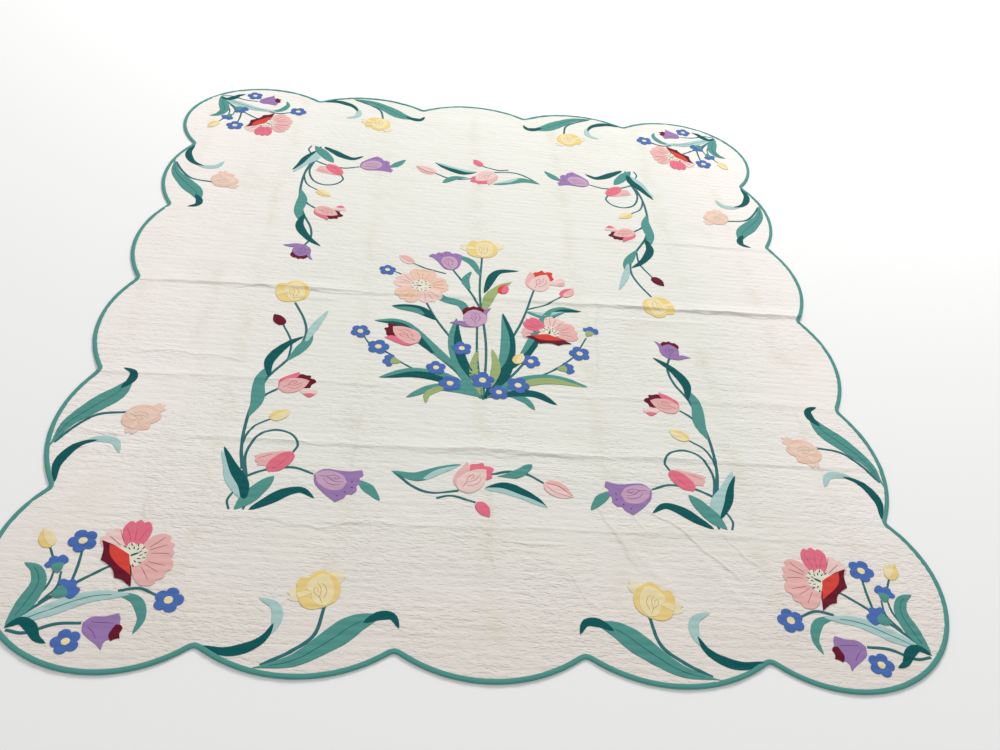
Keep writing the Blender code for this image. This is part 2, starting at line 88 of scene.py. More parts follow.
def soft_lamp(name, place, size, power):
    """A square lamp that faces the middle of the quilt."""
    lamp = bpy.data.lights.new(name, "AREA")
    lamp.size = size
    lamp.energy = power
    obj = bpy.data.objects.new(name, lamp)
    obj.location = place
    obj.rotation_euler = Vector(place).to_track_quat("Z", "Y").to_euler()
    scene.collection.objects.link(obj)
    return obj


soft_lamp("window", KEY_PLACE, KEY_SIZE, KEY_POWER)
print("one lamp of", KEY_POWER, "W and a world of strength", WORLD_LIGHT)

# %% [markdown]
# ## Cloth finishes
# Every cloth here is plain-woven cotton, so one recipe serves all: a base colour that fades a little from
# place to place, a fine weave as bump, and a rough surface with a faint sheen. The recipe is made of
# shader nodes that read the object's own coordinates in metres, so threads keep their real size on any
# piece and nothing depends on where the camera stands.


# %% Small helpers for shader nodes
def srgb(red, green, blue):
    """A colour seen on a screen, as the linear values that a shader works with."""
    return [(c / 255 / 12.92) if c <= 10 else ((c / 255 + 0.055) / 1.055) ** 2.4 for c in (red, green, blue)]


def add_node(tree, kind, settings=(), **inputs):
    """Adds a node. An input is a value, or an output of another node to link from."""
    node = tree.nodes.new(kind)
    for name, value in dict(settings).items():
        setattr(node, name, value)
    for name, value in inputs.items():
        socket = node.inputs[int(name[1:])] if name[1:].isdigit() else node.inputs[name.replace("_", " ")]
        if isinstance(value, bpy.types.NodeSocket):
            tree.links.new(value, socket)
        else:
            socket.default_value = value
    return node


def math_node(tree, operation, first, second=0.0, third=0.0):
    """One sum, product or the like of numbers or outputs of other nodes."""
    node = add_node(tree, "ShaderNodeMath", {"operation": operation}, i0=first, i1=second, i2=third)
    return node.outputs[0]


def mix_colour(tree, share, first, second):
    """The first colour where the share is 0, the second where it is 1."""
    node = add_node(tree, "ShaderNodeMix", {"data_type": "RGBA"}, i0=share, i6=first, i7=second)
    return node.outputs[2]


def stretched(tree, value, low, high, first=0.0, last=1.0):
    """The value moved so that low becomes first and high becomes last, and held between them."""
    node = add_node(tree, "ShaderNodeMapRange", i0=value, i1=low, i2=high, i3=first, i4=last)
    return node.outputs[0]


def noise(tree, place, scale, detail=2.0, stretch=(1.0, 1.0, 1.0)):
    """Soft random patches. A larger stretch makes them narrower along that axis."""
    moved = add_node(tree, "ShaderNodeMapping", Vector=place, Scale=stretch).outputs[0]
    return add_node(tree, "ShaderNodeTexNoise", Vector=moved, Scale=scale, Detail=detail).outputs["Fac"]


print("a middle grey of the screen is", round(srgb(128, 128, 128)[0], 3), "for a shader")

# %% One recipe for cotton
THREAD = 0.0007           # from one thread of the weave to the next
WEAVE_RISE = 0.00012
WAVE_LENGTH = math.pi / 10   # the wave texture's own wavelength at scale 1
FADING = 16.0             # scale of the patches in which a dye fades
SLUBS = 260.0             # scale of the thicker stretches of thread
SLUB_STRETCH = (0.25, 1.0, 1.0)
SLUB_SHARE = 0.35
ROUGH_SPREAD = 0.06
WEAVE_BUMP = 0.35
SHEEN_ROUGH = 0.5
GLOSS = 0.12              # cotton shines very little


def weave(tree, place):
    """Over and under of a plain weave, from 0 to 1."""
    warp, weft = (
        add_node(
            tree, "ShaderNodeTexWave", {"bands_direction": way}, Vector=place, Scale=WAVE_LENGTH / THREAD,
        ).outputs["Fac"]
        for way in "XY"
    )
    return math_node(tree, "MAXIMUM", warp, weft)


def cotton(name, colour, uneven=0.10, rough=0.90, sheen=0.04):
    """Plain cotton of one dye, a little faded in patches."""
    material = bpy.data.materials.new(name)
    material.use_nodes = True
    tree = material.node_tree
    shader = tree.nodes["Principled BSDF"]
    place = add_node(tree, "ShaderNodeTexCoord").outputs["Object"]
    patches = noise(tree, place, FADING, 3.0)
    slubs = noise(tree, place, SLUBS, 2.0, SLUB_STRETCH)
    faded = math_node(tree, "MULTIPLY", patches, 1 - SLUB_SHARE)
    tone = math_node(tree, "MULTIPLY_ADD", slubs, SLUB_SHARE, faded)
    dark = [c * (1 - uneven) for c in colour] + [1.0]
    light = [min(c * (1 + uneven), 1.0) for c in colour] + [1.0]
    tree.links.new(mix_colour(tree, tone, dark, light), shader.inputs["Base Color"])
    roughness = stretched(tree, patches, 0.0, 1.0, rough - ROUGH_SPREAD, rough + ROUGH_SPREAD)
    tree.links.new(roughness, shader.inputs["Roughness"])
    woven = weave(tree, place)
    bump = add_node(tree, "ShaderNodeBump", Strength=WEAVE_BUMP, Distance=WEAVE_RISE, Height=woven)
    tree.links.new(bump.outputs[0], shader.inputs["Normal"])
    shader.inputs["Sheen Weight"].default_value = sheen
    shader.inputs["Sheen Roughness"].default_value = SHEEN_ROUGH
    shader.inputs["Specular IOR Level"].default_value = GLOSS
    return material


print("weave of", round(0.01 / THREAD, 1), "threads to the centimetre")

# %% The dyed cottons and embroidery threads
DYES = {
    "leaf_green": (84, 152, 144),
    "dark_teal": (4, 90, 92),
    "pale_aqua": (174, 208, 205),
    "stem_teal": (52, 114, 118),
    "olive": (160, 180, 118),
    "pink": (232, 116, 138),
    "pale_pink": (236, 184, 180),
    "blush": (240, 208, 202),
    "peach": (240, 202, 182),
    "pale_peach": (240, 212, 196),
    "yellow": (240, 212, 136),
    "pale_yellow": (242, 226, 178),
    "straw": (240, 228, 198),
    "purple": (158, 124, 180),
    "lilac": (204, 166, 194),
    "maroon": (108, 20, 42),
    "red": (222, 72, 60),
    "blue": (76, 112, 182),
    "cream": (236, 232, 214),
    "dark_thread": (58, 52, 58),
    "rose_thread": (190, 96, 110),
    "gold_thread": (206, 168, 92),
    "plum_thread": (120, 78, 140),
}
cloths = {name: cotton(name, srgb(*dye)) for name, dye in DYES.items()}
print(len(cloths), "dyed cottons and threads")

# %% [markdown]
# ## The scalloped outline
# The maker drew the edge round a plate: shallow bulges of one width along the sides, and a round bulge at
# each corner. Arcs give the same edge as the CAD model's, only with many more points, so that the curve
# stays smooth in a close look.

# %% Outline from arcs
LOBE = 0.37
SIDE_LOBES, END_LOBES = 4, 3
SIDE_RISE, END_RISE = 0.053, 0.062
HALF_WIDTH, HALF_LENGTH = 2.5 * LOBE, 3.0 * LOBE
CORNER_RADIUS = 0.262
CORNER_CENTRE = np.array((1.964, 2.464)) * LOBE
EDGE_STEP = 0.005
VALLEY_ROUNDS = 4         # how often the edge is evened out, which softens the valleys


def unit(vectors):
    """The same directions, each of length 1."""
    return vectors / np.linalg.norm(vectors, axis=-1, keepdims=True)


def to_the_left(vectors):
    """The directions, each turned a quarter to the left."""
    return np.stack((-vectors[..., 1], vectors[..., 0]), axis=-1)


def arc(centre, radius, start, end):
    """Points along an arc, its ends included."""
    steps = max(2, round(abs(end - start) * radius / EDGE_STEP))
    angles = np.linspace(start, end, steps + 1)
    return centre + radius * np.stack((np.cos(angles), np.sin(angles)), axis=-1)


def lobe_arc(middle, outward, rise):
    """One scallop between two valleys, its bulge pointing along the angle outward."""
    half = LOBE / 2
    radius = (half * half + rise * rise) / (2 * rise)
    sweep = math.asin(half / radius)
    centre = np.array(middle) - (radius - rise) * np.array((math.cos(outward), math.sin(outward)))
    return arc(centre, radius, outward - sweep, outward + sweep)[:-1]


def corner_arc(side, end):
    """The round lobe of one corner, between its two valleys."""
    start = math.atan2(2 * LOBE - CORNER_CENTRE[1], HALF_WIDTH - CORNER_CENTRE[0])
    finish = math.atan2(HALF_LENGTH - CORNER_CENTRE[1], 1.5 * LOBE - CORNER_CENTRE[0])
    points = arc(CORNER_CENTRE, CORNER_RADIUS, start, finish) * (side, end)
    return points[:-1] if side * end > 0 else points[::-1][:-1]


print("points on a corner lobe:", len(corner_arc(1, 1)))

# %% Join the arcs, and measure the sheet
def scalloped_outline():
    """The edge of the quilt, counter-clockwise from the near right corner."""
    side_middles = [(k - (SIDE_LOBES - 1) / 2) * LOBE for k in range(SIDE_LOBES)]
    end_middles = [(k - (END_LOBES - 1) / 2) * LOBE for k in range(END_LOBES)]
    parts = [corner_arc(1, -1)]
    parts += [lobe_arc((HALF_WIDTH, y), 0.0, SIDE_RISE) for y in side_middles]
    parts += [corner_arc(1, 1)]
    parts += [lobe_arc((x, HALF_LENGTH), math.pi / 2, END_RISE) for x in end_middles[::-1]]
    parts += [corner_arc(-1, 1)]
    parts += [lobe_arc((-HALF_WIDTH, y), math.pi, SIDE_RISE) for y in side_middles[::-1]]
    parts += [corner_arc(-1, -1)]
    parts += [lobe_arc((x, -HALF_LENGTH), -math.pi / 2, END_RISE) for x in end_middles]
    edge = np.vstack(parts)
    for _ in range(VALLEY_ROUNDS):
        edge = (np.roll(edge, 1, axis=0) + 2 * edge + np.roll(edge, -1, axis=0)) / 4
    return edge


def signed_area(outline):
    """The area inside an outline, less than zero where it runs clockwise."""
    x, y = outline[:, 0], outline[:, 1]
    return 0.5 * float(np.sum(x * np.roll(y, -1) - np.roll(x, -1) * y))


def inset(outline, distance):
    """The outline moved inwards, with a mitre at each corner."""
    ahead = unit(np.roll(outline, -1, axis=0) - outline)
    inward = unit(to_the_left(ahead) + to_the_left(np.roll(ahead, 1, axis=0)))
    reach = distance / np.sum(inward * to_the_left(ahead), axis=1)
    return outline + inward * reach[:, None]


EDGE = scalloped_outline()

# %% [markdown]
# ## The folds and puckers
# The real quilt was folded away for years. It keeps a few sharp creases across its width, wide soft folds
# along its length, and small slanting creases in the near right quarter. A cloth simulation would make
# folds of its own, in other places. Here each crease is placed as a soft ridge or trough, and all
# of them add up to one height for any point of the plan, so every piece can be laid on the same cloth.


# %% Soft random values
def soft_noise(x, y, wide, long, seed):
    """Smooth random values from -1 to 1, in patches of the given width and length."""
    table = np.random.default_rng(seed).uniform(-1.0, 1.0, (64, 64))
    u, v = x / wide + 512.0, y / long + 512.0
    i, j = np.floor(u).astype(int), np.floor(v).astype(int)
    s, t = u - i, v - j
    s, t = s * s * (3 - 2 * s), t * t * (3 - 2 * t)
    near = table[i % 64, j % 64] * (1 - s) + table[(i + 1) % 64, j % 64] * s
    far = table[i % 64, (j + 1) % 64] * (1 - s) + table[(i + 1) % 64, (j + 1) % 64] * s
    return near * (1 - t) + far * t


print("soft noise along a line:", soft_noise(np.linspace(0, 1, 5), np.zeros(5), 0.4, 0.4, 1).round(2))

# %% Sharp folds across the width
THICK = 0.004
PITCH = LOBE / 18
Across = namedtuple("Across", "place slope heights near_foot far_foot")
FOLDS_ACROSS = (
    Across(-0.802, 0.004, (0.0, 0.0015, 0.0012, 0.0024, 0.0), 0.020, 0.040),
    Across(-0.576, 0.002, (0.0, 0.0022, 0.0044, 0.0038, 0.0012), 0.016, 0.045),
    Across(-0.370, 0.006, (0.0034, 0.0024, 0.0, 0.0020, 0.0030), 0.018, 0.040),
    Across(0.006, 0.009, (0.0036, 0.0048, 0.0030, 0.0068, 0.0078), 0.011, 0.048),
    Across(0.350, 0.004, (0.0, 0.0008, 0.0, 0.0018, 0.0036), 0.018, 0.040),
)
HEIGHT_PLACES = (-1, -0.5, 0, 0.5, 1)
CREST_ROWS = (-0.0100, -0.0065, -0.0030, 0.0, 0.0040)
CREST_WAVER = 0.005       # how far a crest strays from its straight line
RIDGE_SHAPE = 1.5         # over 1, a ridge has hollow sides and a sharp crest
RIDGE_MEAN, RIDGE_SPREAD = 0.85, 0.3


def crest_of(k, x):
    """Where the crest of one of the folds runs."""
    fold = FOLDS_ACROSS[k]
    return fold.place + fold.slope * x + CREST_WAVER * soft_noise(x, x * 0, 0.13, 1.0, 30 + k)


def crest_points(columns):
    """Loose points along each crest, close enough together to keep the folds sharp."""
    lines = [
        np.column_stack((columns, crest_of(k, columns) + off))
        for k in range(len(FOLDS_ACROSS))
        for off in CREST_ROWS
    ]
    return np.vstack(lines)


def lift(x, y):
    """How far the folds across the width hold the cloth off the floor."""
    total = np.zeros_like(x)
    for k, fold in enumerate(FOLDS_ACROSS):
        off = y - crest_of(k, x)
        reach = np.where(off < 0, fold.near_foot, fold.far_foot)
        ridge = np.clip(1 - np.abs(off) / reach, 0, 1) ** RIDGE_SHAPE
        uneven = RIDGE_MEAN + RIDGE_SPREAD * soft_noise(x, y * 0, 0.09, 1.0, 50 + k)
        total += np.interp(x, HEIGHT_PLACES, fold.heights) * ridge * uneven
    return total


print(len(FOLDS_ACROSS), "folds across, up to", max(max(fold.heights) for fold in FOLDS_ACROSS) * 1000, "mm")

# %% Soft folds along the length, and small creases
Along = namedtuple("Along", "left_foot crest right_foot height")
FOLDS_ALONG = (
    Along(-0.93, -0.62, -0.31, 0.0022),
    Along(-0.31, 0.00, 0.28, 0.0026),
    Along(0.28, 0.58, 0.93, 0.0030),
)
Crease = namedtuple("Crease", "route height width")
CREASES = (
    Crease(((0.29, -0.80), (0.34, -0.88), (0.40, -0.99)), 0.0022, 0.012),
    Crease(((0.45, -0.84), (0.50, -0.92), (0.55, -1.00)), 0.0018, 0.011),
    Crease(((0.60, -0.93), (0.70, -0.97), (0.78, -0.98)), 0.0014, 0.010),
    Crease(((-0.31, -1.05), (-0.27, -0.60), (-0.30, -0.20)), -0.0011, 0.012),
    Crease(((-0.72, -0.95), (-0.70, -0.40), (-0.73, 0.10)), -0.0010, 0.012),
    Crease(((0.01, -1.12), (0.02, -0.60), (0.00, -0.45)), -0.0012, 0.010),
    Crease(((0.30, -0.55), (0.28, 0.05), (0.29, 0.60)), -0.0011, 0.012),
    Crease(((0.80, -0.75), (0.83, -0.20), (0.81, 0.50)), -0.0010, 0.012),
    Crease(((-0.28, 0.30), (-0.30, 0.70), (-0.29, 1.05)), -0.0010, 0.012),
    Crease(((0.60, 0.20), (0.59, 0.60), (0.61, 1.00)), 0.0012, 0.012),
    Crease(((-0.88, -0.28), (-0.70, -0.30), (-0.55, -0.29)), 0.0013, 0.009),
    Crease(((-0.55, -0.025), (-0.44, -0.040), (-0.36, -0.030)), 0.0018, 0.008),
    Crease(((0.30, -0.045), (0.52, -0.050), (0.70, -0.035)), 0.0020, 0.009),
    Crease(((-0.20, -0.650), (0.05, -0.640), (0.30, -0.655)), 0.0012, 0.009),
    Crease(((-0.92, -0.62), (-0.80, -0.63), (-0.66, -0.615)), 0.0012, 0.009),
)
print(len(FOLDS_ALONG), "soft folds along the length and", len(CREASES), "small creases")

# %% Height of the soft folds and small creases
SOFT_SHAPE = 1.2
FOLD_END, FOLD_FADE = 1.09, 0.05   # the folds sink into the binding at both ends
CREASE_WAVER = 0.006


def distance_to(route, x, y):
    """How far each point lies from a line of points, and how far along it in shares of its length."""
    best = np.full(x.shape, np.inf)
    along = np.zeros_like(x)
    for k, ((ax, ay), (bx, by)) in enumerate(zip(route[:-1], route[1:])):
        length = (bx - ax) ** 2 + (by - ay) ** 2
        share = np.clip(((x - ax) * (bx - ax) + (y - ay) * (by - ay)) / length, 0, 1)
        far = np.hypot(x - ax - share * (bx - ax), y - ay - share * (by - ay))
        along = np.where(far < best, (k + share) / (len(route) - 1), along)
        best = np.minimum(best, far)
    return best, along


def puff(x, y):
    """The soft folds along the length and the small creases, on the top only."""
    total = np.zeros_like(x)
    for fold in FOLDS_ALONG:
        side = np.where(x < fold.crest, fold.crest - fold.left_foot, fold.right_foot - fold.crest)
        total += fold.height * np.clip(1 - np.abs(x - fold.crest) / side, 0, 1) ** SOFT_SHAPE
    total *= np.clip((FOLD_END - np.abs(y)) / FOLD_FADE, 0, 1)
    for k, crease in enumerate(CREASES):
        waver = CREASE_WAVER * soft_noise(x, y, 0.05, 0.05, 70 + k)
        far, along = distance_to(crease.route, x + waver, y)
        total += crease.height * np.exp(-((far / crease.width) ** 2)) * np.sin(np.pi * along) ** 0.5
    return total


probe = np.linspace(-0.9, 0.9, 7)
print("soft folds across the middle, mm:", (puff(probe, probe * 0) * 1000).round(1))

# %% Puckers of the quilting
QUILT_DEPTH = 0.0013
ROW_WAVER = 0.0030
ROW_SHAPE = 1.4           # over 1, the hollow along a row is narrow
PULL_MEAN, PULL_SPREAD, PULL_MOST = 0.50, 0.90, 1.4
PULL_PLACES, PULL_THERE = (-1.1, 0.3), (1.0, 0.6)   # the near end is drawn in more than the middle
SHORT_WRINKLE = 0.00042
WIDE_WRINKLE = 0.00045


def puckers(x, y):
    """How far the rows of quilting draw the top in. The rows lie halfway between whole pitches."""
    wobble = ROW_WAVER * soft_noise(x, y, 0.070, 0.08, 11)
    row = 0.5 - 0.5 * np.cos(2 * np.pi * (y + wobble) / PITCH)
    pull = PULL_MEAN + PULL_SPREAD * soft_noise(x, y, 0.027, PITCH, 12)
    deep = QUILT_DEPTH * np.interp(y, PULL_PLACES, PULL_THERE)
    return deep * row ** ROW_SHAPE * np.clip(pull, 0.0, PULL_MOST)


def wrinkles(x, y):
    """Short crosswise wrinkles between the rows, as uneven as on an old washed quilt."""
    short = SHORT_WRINKLE * soft_noise(x, y, 0.026, 0.0085, 13)
    wide = WIDE_WRINKLE * soft_noise(x, y, 0.11, 0.035, 14)
    return short + wide


def laid_top(x, y, drawn_in=1.0):
    """Height of the quilt's top over any point of the plan."""
    x, y = np.asarray(x, float), np.asarray(y, float)
    return THICK + lift(x, y) + puff(x, y) + wrinkles(x, y) - drawn_in * puckers(x, y)


print("heights along the main fold, mm:", (laid_top(probe, probe * 0.009) * 1000).round(1))

# %% [markdown]
# ## Cloth from an outline
# Each piece of this quilt is a flat outline that has been laid on an uneven surface. Blender can turn an
# outline into triangles with a constrained Delaunay fill, which keeps the cut edge exactly and uses any
# loose points that lie inside. The fill is then lifted to the heights of the cloth, copied for the
# underside, and closed by a narrow wall round the edge.


# %% Fill an outline with triangles
def filled(outline, inner):
    """Points and triangles that fill an outline, with the inner points that lie in it."""
    count = len(outline)
    points = [Vector(p) for p in np.vstack((outline, inner))]
    edges = [(k, (k + 1) % count) for k in range(count)]
    flat, _, faces, *_ = delaunay_2d_cdt(points, edges, [], 1, 1e-7)
    flat = np.array([(p.x, p.y) for p in flat])
    used, faces = np.unique(np.array(faces), return_inverse=True)
    return flat[used], faces.reshape(-1, 3)


def open_edges(triangles):
    """The edges that only one triangle uses, as pairs of points in that triangle's order."""
    edges = np.vstack((triangles[:, (0, 1)], triangles[:, (1, 2)], triangles[:, (2, 0)]))
    size = int(triangles.max()) + 1
    keys = edges[:, 0] * size + edges[:, 1]
    twins = edges[:, 1] * size + edges[:, 0]
    return edges[~np.isin(keys, twins)]


def closed_sheet(flat, triangles, top, bottom):
    """A thin closed sheet: the fill at its top heights, its copy below, and a wall between."""
    count = len(flat)
    points = np.vstack((np.column_stack((flat, top)), np.column_stack((flat, bottom))))
    rim = open_edges(triangles)
    wall = np.column_stack((rim[:, 1], rim[:, 0], rim[:, 0] + count, rim[:, 1] + count))
    faces = triangles.tolist() + (triangles[:, ::-1] + count).tolist() + wall.tolist()
    return points, faces


square = np.array(((0.0, 0.0), (1.0, 0.0), (1.0, 1.0), (0.0, 1.0)))
print("a square with one loose point makes", len(filled(square, np.array([(0.5, 0.5)]))[1]), "triangles")

# %% Make a piece of cloth from points and faces
def cloth_piece(name, points, faces, materials, which=None):
    """A smooth-shaded mesh object. which gives each face's material as its place in the list."""
    mesh = bpy.data.meshes.new(name)
    mesh.from_pydata(points.tolist() if hasattr(points, "tolist") else points, [], faces)
    for material in materials:
        mesh.materials.append(material)
    if which is not None:
        mesh.polygons.foreach_set("material_index", which)
    mesh.polygons.foreach_set("use_smooth", [True] * len(mesh.polygons))
    mesh.update()
    obj = bpy.data.objects.new(name, mesh)
    scene.collection.objects.link(obj)
    return obj


print("meshes before the first piece of cloth:", len(bpy.data.meshes))

# %% [markdown]
# ## The quilted ground
# The ground cloth has aged. It is a creamy white in the middle and tan where the long folds were exposed to
# dust. Its paler, pinker sides are painted light, and its greyer near end is painted shade. All of these lie
# in the material, each as a soft band broken up by noise. The stitches of the quilting are a broken line
# along each row, darkened with painted shade; the fine creases are darkened with painted shade and dirt.
# Finer puckers than the mesh can hold are bump.

# %% Ageing, stains and painted light of the ground
FOLD_TANS = (
    (-0.90, 0.30), (-0.72, 0.40), (-0.61, 0.65), (-0.31, 0.60), (0.00, 0.70),
    (0.28, 0.65), (0.60, 0.75), (0.82, 0.55),
)
TAN_WIDTH = 0.030
TAN_SHARE = 0.55
# the painted shade of the near end and the painted light of the sides fade in over these spans
NEAR_SHADE_FADE = (-0.60, -1.15)   # from here to there the tone of the near end comes in, and so on
LEFT_LIGHT_FADE = (-0.45, -0.85)
RIGHT_LIGHT_FADE = (0.60, 0.90)
WAVER = 0.06              # how wide a drawn line strays, from one side to the other
TONES = {
    "cream": (240, 240, 234),
    "warm_cream": (236, 236, 226),
    # side is painted light, paler and pinker; near is painted shade, greyer and pinker
    "side": (250, 244, 239),
    "near": (238, 230, 223),
    "stain": (230, 222, 204),
    "tan": (224, 214, 190),
    # mark is painted shade on the stitches and the fine creases, with dirt in the creases
    "mark": (200, 192, 176),
}
tones = {name: srgb(*tone) + [1.0] for name, tone in TONES.items()}


def soft_band(tree, value, middle, width):
    """1 where a value is at the middle, falling to 0 at the width."""
    off = math_node(tree, "ABSOLUTE", math_node(tree, "SUBTRACT", value, middle))
    left_over = math_node(tree, "SUBTRACT", 1.0, math_node(tree, "DIVIDE", off, width))
    return math_node(tree, "MAXIMUM", left_over, 0.0)


def straying(tree, place, scale, detail=2.0):
    """A small shift to the sides that keeps a drawn line from being straight."""
    return math_node(tree, "MULTIPLY_ADD", noise(tree, place, scale, detail), WAVER, -WAVER / 2)


def aged_colour_and_painted_light(tree, place):
    """The ground's colour: cream, tan along the long folds and faint stains, with painted light on the paler,
    pinker sides and painted shade on the greyer near end.
    """
    axes = add_node(tree, "ShaderNodeSeparateXYZ", Vector=place)
    x, y = axes.outputs["X"], axes.outputs["Y"]
    across = math_node(tree, "ADD", x, straying(tree, place, 7.0))
    tan = 0.0
    for middle, strength in FOLD_TANS:
        band = math_node(tree, "MULTIPLY", soft_band(tree, across, middle, TAN_WIDTH), strength)
        tan = math_node(tree, "MAXIMUM", tan, band)
    broken = stretched(tree, noise(tree, place, 13.0, 4.0), 0.40, 0.65)
    tan = math_node(tree, "MULTIPLY", tan, broken)
    # painted shade greys the near end, and painted light makes the sides paler and pinker
    near = stretched(tree, y, *NEAR_SHADE_FADE)
    left, right = stretched(tree, x, *LEFT_LIGHT_FADE), stretched(tree, x, *RIGHT_LIGHT_FADE)
    mottled = noise(tree, place, 5.0, 5.0)
    cream = mix_colour(tree, mottled, tones["cream"], tones["warm_cream"])
    body = mix_colour(tree, math_node(tree, "MAXIMUM", left, right), cream, tones["side"])
    body = mix_colour(tree, near, body, tones["near"])
    stained = stretched(tree, noise(tree, place, 3.2, 6.0), 0.60, 0.78, last=0.4)
    body = mix_colour(tree, stained, body, tones["stain"])
    return mix_colour(tree, math_node(tree, "MULTIPLY", tan, TAN_SHARE), body, tones["tan"]), axes


print(len(FOLD_TANS), "tan fold lines and", len(tones), "tones of the ground")

# %% Fine creases of the ground
# The start and the end of each crease, and how deep it is in shares of the deepest.
FINE_CREASES = (
    ((0.235, -0.700), (0.330, -0.905), 0.7), ((0.300, -0.690), (0.345, -0.800), 0.5),
    ((0.355, -0.720), (0.560, -0.930), 1.0), ((0.520, -0.790), (0.600, -0.890), 0.6),
    ((0.150, -0.900), (0.235, -1.010), 0.5), ((0.330, 0.008), (0.960, 0.010), 1.0),
    ((-0.720, -0.004), (-0.280, -0.012), 0.9), ((-0.900, -0.290), (-0.560, -0.300), 0.5),
    ((-0.600, -0.578), (-0.300, -0.572), 0.6), ((-0.180, -0.590), (0.260, -0.580), 0.7),
    ((-0.480, -0.812), (-0.160, -0.806), 0.6), ((-0.120, -0.840), (0.180, -0.836), 0.6),
    ((0.300, -0.360), (0.340, 0.060), 0.6), ((0.815, -0.640), (0.800, -0.330), 0.4),
    ((-0.300, -0.700), (-0.286, -0.420), 0.5), ((0.004, -0.980), (0.010, -0.640), 0.5),
    ((-0.700, -0.960), (-0.716, -0.700), 0.5), ((-0.940, -0.560), (-0.760, -0.600), 0.5),
)
CREASE_WIDTH = 0.0065
BLUNTING = 3.0


def weighed(tree, axes, a, b, c):
    """a times x plus b times y plus c."""
    part = math_node(tree, "MULTIPLY_ADD", axes.outputs["Y"], b, c)
    return math_node(tree, "MULTIPLY_ADD", axes.outputs["X"], a, part)


def blunt(tree, band):
    """A soft band with a flat top and short slopes."""
    return math_node(tree, "MINIMUM", math_node(tree, "MULTIPLY", band, BLUNTING), 1.0)


def crease_marks(tree, axes, waver):
    """1 in the middle of each fine crease, fading out at its ends."""
    total = 0.0
    for (ax, ay), (bx, by), depth in FINE_CREASES:
        length = math.hypot(bx - ax, by - ay)
        ux, uy = (bx - ax) / length, (by - ay) / length
        along = weighed(tree, axes, ux, uy, -ax * ux - ay * uy)
        off = weighed(tree, axes, uy, -ux, ay * ux - ax * uy)
        line = soft_band(tree, math_node(tree, "ADD", off, waver), 0.0, CREASE_WIDTH)
        middle = blunt(tree, soft_band(tree, along, length / 2, length / 2))
        faded = math_node(tree, "MULTIPLY", middle, depth)
        total = math_node(tree, "MAXIMUM", total, math_node(tree, "MULTIPLY", line, faded))
    return total


print(len(FINE_CREASES), "fine creases")

# %% Stitches and fine puckers of the ground
STITCH = 0.006
STITCH_WIDTH = 0.0011
STITCH_SHARE = 0.36
# how far painted shade darkens the stitches, and painted shade with dirt the fine creases
STITCH_SHADE, CREASE_SHADE_AND_DIRT = 0.35, 0.22
STITCH_DEPTH, CREASE_RISE = -0.10, 0.8
BUMP_DEPTH, BUMP_STRENGTH = 0.0030, 0.8
SOFT_PUCKERS = (42.0, 96.0, 16.0)
SHORT_PUCKERS = (66.0, 190.0, 26.0)
PUCKER_TURN = 0.06        # the short puckers slant a little
SHORT_DEPTH = -0.36


def stitch_marks(tree, axes):
    """1 on each small stitch of the quilting rows."""
    row = math_node(tree, "FRACT", math_node(tree, "DIVIDE", axes.outputs["Y"], PITCH))
    line = soft_band(tree, row, 0.5, STITCH_WIDTH / PITCH)
    step = math_node(tree, "FRACT", math_node(tree, "DIVIDE", axes.outputs["X"], STITCH))
    return math_node(tree, "MULTIPLY", line, blunt(tree, soft_band(tree, step, 0.5, STITCH_SHARE)))


def pucker_height(tree, place, axes):
    """Fine puckers of the quilting: short crosswise hollows, deeper at the near end and in patches."""
    bent = add_node(tree, "ShaderNodeMapping", Vector=place, Rotation=(0.0, 0.0, PUCKER_TURN)).outputs[0]
    soft = noise(tree, place, 1.0, 3.0, SOFT_PUCKERS)
    short = stretched(tree, noise(tree, bent, 1.0, 2.0, SHORT_PUCKERS), 0.5, 0.68)
    puckered = math_node(tree, "MULTIPLY_ADD", short, SHORT_DEPTH, soft)
    near_pull = stretched(tree, axes.outputs["Y"], -1.1, 0.3, 1.0, 0.55)
    patchy = stretched(tree, noise(tree, place, 4.0, 2.0), 0.36, 0.62, 0.45, 1.25)
    pull = math_node(tree, "MULTIPLY", near_pull, patchy)
    return math_node(tree, "MULTIPLY", puckered, pull)


print("stitches of", STITCH * 1000, "mm in rows", round(PITCH * 1000, 1), "mm apart")


# %% The ground cloth
def make_ground_cloth():
    """Aged cotton with its stitches, creases and fine puckers, and painted light and shade in its colour."""
    material = cotton("ground_cotton", srgb(238, 238, 228), uneven=0.02, rough=0.92, sheen=0.10)
    tree = material.node_tree
    shader = tree.nodes["Principled BSDF"]
    place = add_node(tree, "ShaderNodeTexCoord").outputs["Object"]
    colour, axes = aged_colour_and_painted_light(tree, place)
    stitches = stitch_marks(tree, axes)
    creases = crease_marks(tree, axes, straying(tree, place, 8.0, 5.0))
    # painted shade darkens each stitch, and painted shade with dirt each fine crease
    stitch_shade = math_node(tree, "MULTIPLY", stitches, STITCH_SHADE)
    crease_shade_and_dirt = math_node(tree, "MULTIPLY", creases, CREASE_SHADE_AND_DIRT)
    marks = math_node(tree, "MAXIMUM", stitch_shade, crease_shade_and_dirt)
    tree.links.new(mix_colour(tree, marks, colour, tones["mark"]), shader.inputs["Base Color"])
    height = math_node(tree, "MULTIPLY_ADD", stitches, STITCH_DEPTH, pucker_height(tree, place, axes))
    height = math_node(tree, "MULTIPLY_ADD", creases, CREASE_RISE, height)
    fine = add_node(tree, "ShaderNodeBump", Strength=BUMP_STRENGTH, Distance=BUMP_DEPTH, Height=height)
    woven = shader.inputs["Normal"].links[0].from_node
    tree.links.new(fine.outputs[0], woven.inputs["Normal"])
    return material


ground_cotton = make_ground_cloth()
print("ground cotton made of", len(ground_cotton.node_tree.nodes), "shader nodes")

